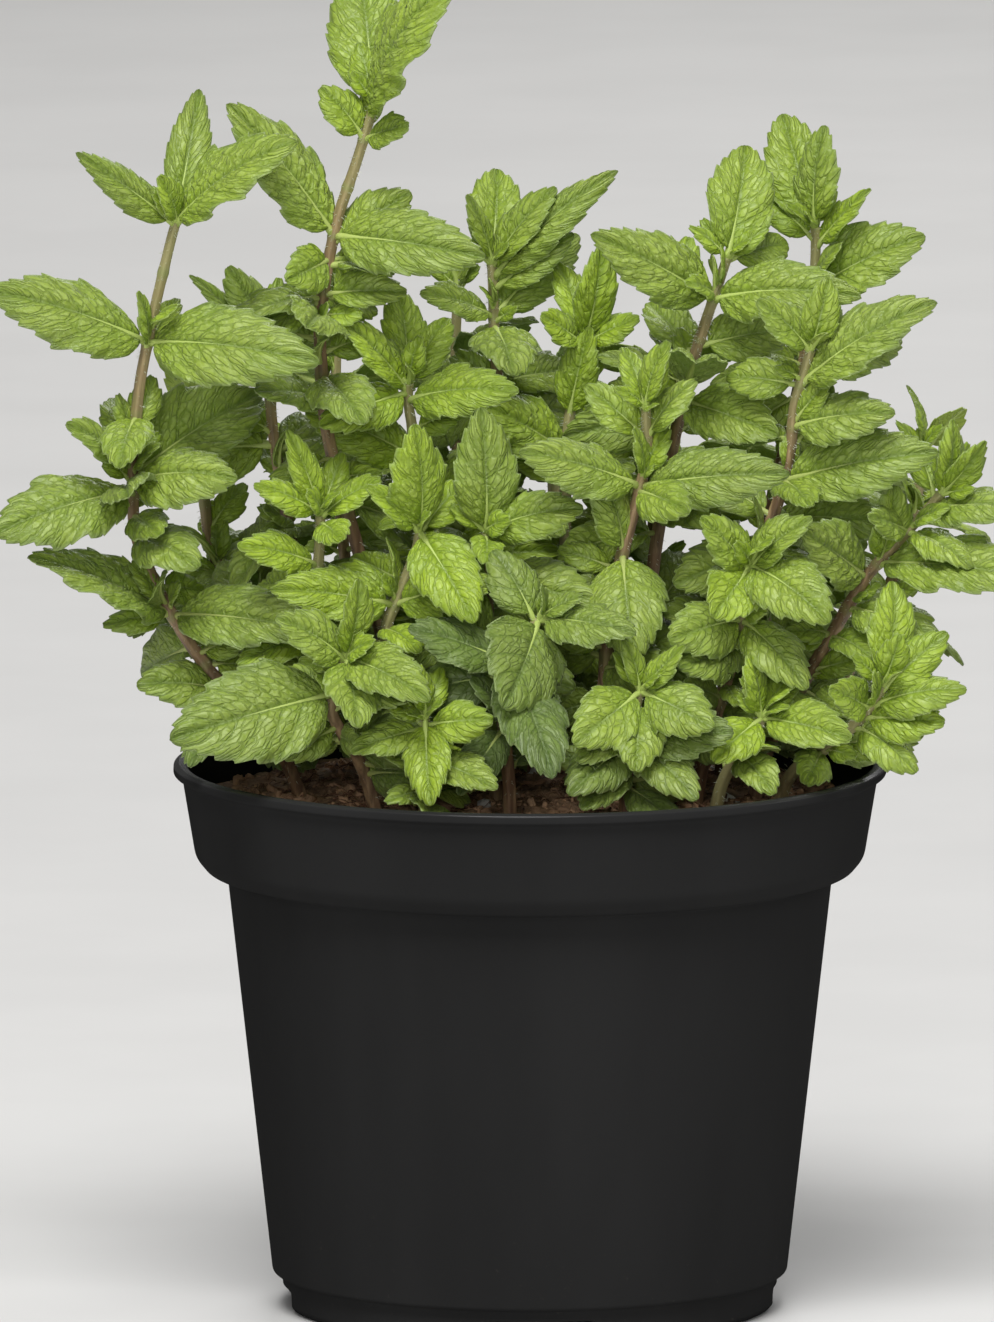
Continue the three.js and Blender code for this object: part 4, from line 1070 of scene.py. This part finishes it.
def pot_profile():
    """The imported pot's profile with its corners rounded as moulded, out from the pad and back in."""
    in_foot, in_collar = FOOT_R - 2.2, COLLAR_FOOT_R - WALL
    return rounded([
        (0, 0, 0), (PAD_R, 0, 0.4), (PAD_R + 1.2, FLOOR_UNDER, 0.4),
        (in_foot - 0.4, FLOOR_UNDER, 0.4), (in_foot + 0.3, 0, 0.4), (FOOT_R - 0.8, 0, 0.3),
        (FOOT_R, 1, 0.3), (FOOT_R + 0.2, STEP_Z - 0.2, 0.4), (BODY_FOOT_R, STEP_Z + 0.4, 0.5),
        (BODY_TOP_R, COLLAR_FOOT_Z - 0.8, 0.5), (COLLAR_FOOT_R - 2, COLLAR_FOOT_Z, 0.6),
        (COLLAR_FOOT_R, COLLAR_FOOT_Z + 2.4, 1.2), (COLLAR_TOP_R, POT_HEIGHT - 2.6, 0.5),
        (LIP_R, POT_HEIGHT - 1.9, 0.3), (LIP_R - 0.05, POT_HEIGHT - 0.5, 0.25),
        (LIP_R - 0.9, POT_HEIGHT, 0.3), (LIP_R - 2.6, POT_HEIGHT - 0.3, 0.6),
        (in_collar, COLLAR_FOOT_Z + 2.8, 1), (in_collar - 1.4, COLLAR_FOOT_Z + WALL, 0.5),
        (BODY_TOP_R - WALL, COLLAR_FOOT_Z + 0.4, 0.8), (FOOT_R - 0.9, STEP_Z + 1.4, 1),
        (FOOT_R - 2.6, FLOOR_TOP, 1), (0, FLOOR_TOP, 0),
    ])


def built(builder, name):
    """The mesh of a builder, which ends here."""
    mesh = bpy.data.meshes.new(name)
    builder.to_mesh(mesh)
    builder.free()
    return mesh


def lathed(name, profile, sides):
    """A closed body of revolution about the upright axis."""
    builder = bmesh.new()
    angles = np.linspace(0, 2 * np.pi, sides, endpoint=False)
    rings = []
    for radius, height in profile:
        around = angles if radius else angles[:1]
        rings.append([builder.verts.new((radius * math.cos(a) * MM, radius * math.sin(a) * MM,
                                         height * MM)) for a in around])
    for low, high in zip(rings, rings[1:]):
        for j in range(sides):
            k = (j + 1) % sides
            corners = [low[j % len(low)], low[k % len(low)], high[k % len(high)], high[j % len(high)]]
            builder.faces.new(list(dict.fromkeys(corners)))
    bmesh.ops.recalc_face_normals(builder, faces=builder.faces)
    return placed(name, built(builder, name))


def cut(piece, *cutters):
    """Cuts the cutters' shapes out of a piece and takes them out of the scene."""
    for cutter in cutters:
        modifier = piece.modifiers.new("cut", "BOOLEAN")
        modifier.object, modifier.operation, modifier.solver = cutter, "DIFFERENCE", "EXACT"
    bpy.context.view_layer.update()
    mesh = bpy.data.meshes.new_from_object(piece.evaluated_get(bpy.context.evaluated_depsgraph_get()))
    piece.modifiers.clear()
    piece.data = mesh
    for cutter in cutters:
        bpy.data.objects.remove(cutter)


def bar(size, at, turn):
    """A rounded block for cutting a drain notch."""
    builder = bmesh.new()
    bmesh.ops.create_cube(builder, size=1)
    for vertex in builder.verts:
        vertex.co = Vector([c * s for c, s in zip(vertex.co, size)])
    bmesh.ops.bevel(builder, geom=list(builder.edges), offset=1.0, segments=3, profile=0.5,
                    affect="EDGES")
    mesh = built(builder, "bar")
    mesh.transform(Matrix.Scale(MM, 4) @ turn @ Matrix.Translation(at))
    return placed("bar", mesh)


def make_pot():
    pot = lathed("nursery_pot", pot_profile(), POT_SIDES)
    cutters = []
    for i in range(NOTCHES):
        turn = Matrix.Rotation(math.radians(-90 + NOTCH_TURN + i * 360 / NOTCHES), 4, "Z")
        at = (FOOT_R - 1, 0, NOTCH_TOP - BAR_HEIGHT / 2)
        cutters.append(bar((BAR_DEPTH, NOTCH_WIDTH, BAR_HEIGHT), at, turn))
        drill = lathed("drill", [(0, -DRILL), (DRAIN_R, -DRILL), (DRAIN_R, DRILL), (0, DRILL)],
                       DRILL_SIDES)
        drill.data.transform(turn @ Matrix.Translation((DRAIN_RING_R * MM, 0, 0)))
        cutters.append(drill)
    cut(pot, *cutters)
    pot.data.shade_smooth()
    pot.data.set_sharp_from_angle(angle=math.radians(SHARP))
    finished(pot, pot_finish(), "pot", "pot")


# -------- potting mix

MIX_RINGS = 110
MIX_SIDES = 300
MIDDLE_R = 0.05  # of the ring that stands for the middle
CRUMBS = 1800
PERLITE = 16
SEEN_PERLITE = (37.0, -9.0, 1.35)  # its place and half its width: the grain seen in front
FIBRES = 620
FIBRE_RINGS = 9
ANY_WAY = 6.3  # radians, about a full turn


def rough(x, y, size, seed):
    """Smooth noise over the mix, from about -1 to 1."""
    flat = np.stack([np.ravel(x) / size, np.ravel(y) / size], -1)
    return np.array([noise.noise(Vector((a, b, seed))) for a, b in flat]).reshape(np.shape(x))


def mix_height(x, y):
    """The crumbly top of the mix."""
    return (soil_height(x, y) - 0.35 + 0.75 * rough(x, y, 4.5, 3.0) + 0.45 * rough(x, y, 1.7, 8.0)
            + 0.25 * rough(x, y, 0.8, 5.0))


def make_mix(patches):
    """The body of the mix: its crumbly top, its side along the pot's wall and its flat underside."""
    radii = np.concatenate([[MIDDLE_R], np.linspace(1.2, SOIL_R - 0.5, MIX_RINGS)])
    around = ring(MIX_SIDES)
    x, y = np.moveaxis(radii[:, None, None] * around, -1, 0)
    top = np.stack([x, y, mix_height(x, y)], -1)
    wall = [(SOIL_R - 0.1, SOIL_Z - 2.6),
            (COLLAR_FOOT_R - WALL - 1.6, COLLAR_FOOT_Z + WALL + GAP),
            (BODY_TOP_R - WALL - GAP, COLLAR_FOOT_Z + 0.3),
            (FOOT_R - 4, FLOOR_TOP + GAP), (MIDDLE_R, FLOOR_TOP + GAP)]
    side = np.array([[[r * c, r * s, z] for c, s in around] for r, z in wall])
    points = np.concatenate([top, side])
    quads = grid_quads(len(points), MIX_SIDES, closed=True)
    looks = np.zeros((len(points), MIX_SIDES, 4))
    # painted shade: the deeper the top dips below the mound, the darker its colour
    below = top[..., 2] - soil_height(x, y)
    looks[:len(top), :, 2] = np.clip(0.15 - 0.8 * below, 0, 1)
    looks[:len(top), :, 0] = np.clip(0.5 + rough(x, y, 9.0, 1.0), 0, 1) * 0.5
    patches.add(points.reshape(-1, 3), quads, looks.reshape(-1, 4))


def ball():
    """The points and quads of a small round body, from a divided cube."""
    builder = bmesh.new()
    bmesh.ops.create_cube(builder, size=2)
    bmesh.ops.subdivide_edges(builder, edges=list(builder.edges), cuts=2, use_grid_fill=True)
    points = np.array([vertex.co.normalized() for vertex in builder.verts])
    quads = np.array([[vertex.index for vertex in face.verts] for face in builder.faces])
    builder.free()
    return points, quads


def scattered(rng, reach):
    """A place on the mix, as likely near its middle as near its wall."""
    radius, turn = reach * math.sqrt(rng.random()), rng.random() * 2 * math.pi
    return radius * math.cos(turn), radius * math.sin(turn), turn


def make_crumbs(patches, rng):
    """Grains of bark and peat, and white perlite, half sunk in the mix."""
    points, quads = ball()
    for i in range(CRUMBS + PERLITE):
        white = i >= CRUMBS
        x, y, _ = scattered(rng, SOIL_R - 3)
        if white:
            size, stretch = 0.8 + rng.random() * 0.4, 1.0
        else:
            size = rng.random() ** 2.2 * 1.05 + 0.35
            stretch = np.array([1, 0.4 + 0.45 * rng.random(), 0.3 + 0.4 * rng.random()])
        if i == CRUMBS:
            x, y, size = SEEN_PERLITE
        turn, axis = rng.random() * ANY_WAY, Vector(rng.normal(size=3)).normalized()
        spin = np.array(Matrix.Rotation(turn, 3, axis))
        lumps = 1 + 0.3 * np.sin(points @ rng.normal(size=3) * 3.5 + rng.random() * 6)
        lumps = lumps + 0.16 * np.sin(points @ rng.normal(size=3) * 8 + rng.random() * 6)
        body = (points * lumps[:, None] * stretch * size) @ spin.T
        z = float(mix_height(np.array(x), np.array(y))) + size * 0.22
        patches.add(body + [x, y, z], quads, np.array([rng.random() ** 1.5, float(white), 0, 0]))


def make_fibres(patches, rng):
    """Fine roots and peat threads that lie on the mix."""
    for _ in range(FIBRES):
        x, y, turn = scattered(rng, SOIL_R - 8)
        heading, curl = rng.random() * ANY_WAY, rng.normal() * 0.8
        length = 2.5 + rng.random() * 6
        steps = np.linspace(0, 1, FIBRE_RINGS)
        bearing = heading + curl * steps + 0.5 * np.sin(steps * 7 + turn)
        x = x + np.cumsum(np.cos(bearing)) * length / FIBRE_RINGS
        y = y + np.cumsum(np.sin(bearing)) * length / FIBRE_RINGS
        keep = np.minimum(1, (SOIL_R - 2) / np.hypot(x, y))
        x, y = x * keep, y * keep
        z = mix_height(x, y) + 0.35 + np.abs(np.sin(steps * 5 + curl)) * 0.9 * rng.random()
        radii = (0.07 + 0.14 * rng.random()) * (1 - 0.6 * steps)
        looks = np.tile([rng.random(), rng.random(), 0, 0], (FIBRE_RINGS, 1))
        patches.add(*tube(np.stack([x, y, z], -1), radii, ring(5), looks))


# -------- hairs

HAIRS_A_MM = 3.0  # short hairs on each millimetre of stem
HAIR_RADII = np.array([0.05, 0.035, 0.012])


def make_hairs(stems, patches, rng):
    """Short pale hairs that stand out from the stems, bent a little downwards."""
    for stem in stems:
        start = 1.1 / stem.last
        length = np.linalg.norm(stem.point(1) - stem.point(start))
        for t in start + (1 - start) * rng.random(int(length * HAIRS_A_MM)):
            along = stem.along(t)
            out = turned(unit(np.cross(along, [0.2, 0.95, 0.1])), along, rng.random() * 2 * math.pi)
            foot = stem.point(t) + out * stem.half(t) * 0.8
            reach = 0.45 + 0.5 * rng.random()
            steps = np.array([0, 0.5, 1])[:, None] * reach
            path = foot + out * steps - along * steps**2 * 0.35
            patches.add(*tube(path, HAIR_RADII, ring(3), np.zeros((3, 4)), cap=False))


# -------- the whole plant

leaf_green, stem_bark = leaf_finish(), stem_finish()
room = Room()
plants = [grow(number, plan) for number, plan in enumerate(STEMS)]
for _, leaves in plants:
    for leaf in leaves:
        room.take(leaf)
for number, (plan, (stem, leaves)) in enumerate(zip(STEMS, plants)):
    dress(number, plan, stem, leaves, room, leaf_green, stem_bark)

make_pot()

rng = np.random.default_rng(7)
hairs = Patches()
make_hairs([stem for stem, _ in plants], hairs, rng)
hairs.piece("stem_hairs", hair_finish(), "foliage")
bed, crumbs, fibres = Patches(), Patches(), Patches()
make_mix(bed)
make_crumbs(crumbs, rng)
make_fibres(fibres, rng)
mix = mix_finish()
bed.piece("potting_mix_bed", mix, "potting_mix", "potting_mix")
crumbs.piece("potting_mix_crumbs", mix, "potting_mix", "potting_mix")
fibres.piece("potting_mix_fibres", fibre_finish(), "potting_mix", "potting_mix")

# -------- floor, light and camera


FLOOR_HALF = 9  # of its width, in metres
FLOOR_Z = -0.0002  # just under the pot's foot, so that the two don't share a plane


def make_floor():
    mesh = bpy.data.meshes.new("floor")
    corners = [(FLOOR_HALF * i, FLOOR_HALF * j, 0) for i, j in ((-1, -1), (1, -1), (1, 1), (-1, 1))]
    mesh.from_pydata(corners, [], [(0, 1, 2, 3)])
    floor = placed("floor", mesh)
    floor.location.z = FLOOR_Z
    mesh.materials.append(floor_finish())
    floor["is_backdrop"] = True


LAMPS = {  # place in metres, width in metres and watts
    "sky_lamp": ((-0.15, -1.15, 2.0), 1.1, 52),
    "front_lamp": ((-0.3, -2.6, 0.8), 0.9, 17),
    "right_lamp": ((2.0, 0.5, 1.2), 1.0, 5),
    "back_lamp": ((0.4, 1.9, 1.4), 1.2, 18),
}
LIT = Vector((0, 0, 0.13))  # what the lamps face
WORLD_LIGHT = 0.19


def make_light():
    """Soft square lamps and an even, weak light from all round."""
    for name, (at, size, watts) in LAMPS.items():
        light = bpy.data.lights.new(name, "AREA")
        light.shape, light.size, light.energy = "SQUARE", size, watts
        holder = placed(name, light)
        holder.location = at
        holder.rotation_euler = (LIT - Vector(at)).to_track_quat("-Z", "Y").to_euler()
    world = bpy.data.worlds.new("pale")
    bpy.context.scene.world = world
    world.use_nodes = True
    background = world.node_tree.nodes["Background"]
    background.inputs[0].default_value = (1.0, 1.0, 1.0, 1.0)
    background.inputs[1].default_value = WORLD_LIGHT
    bpy.context.scene.view_settings.view_transform = "Standard"


AIM = (-6.0, 0.0, 118.4)  # what the camera faces
CAMERA_AWAY = 5000
SENSOR = 36
LENS = 747.5
CLIP_END = 60  # in metres


def make_camera():
    camera = bpy.data.cameras.new("camera")
    camera.sensor_width, camera.lens, camera.clip_end = SENSOR, LENS, CLIP_END
    holder = placed("camera", camera)
    back = Vector((0, -math.cos(VIEW_TILT), math.sin(VIEW_TILT)))
    holder.location = (Vector(AIM) + back * CAMERA_AWAY) * MM
    holder.rotation_euler = back.to_track_quat("Z", "Y").to_euler()
    bpy.context.scene.camera = holder


make_floor()
make_light()
make_camera()

[[list(corner) for corner in box] for box in (cad_box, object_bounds())]
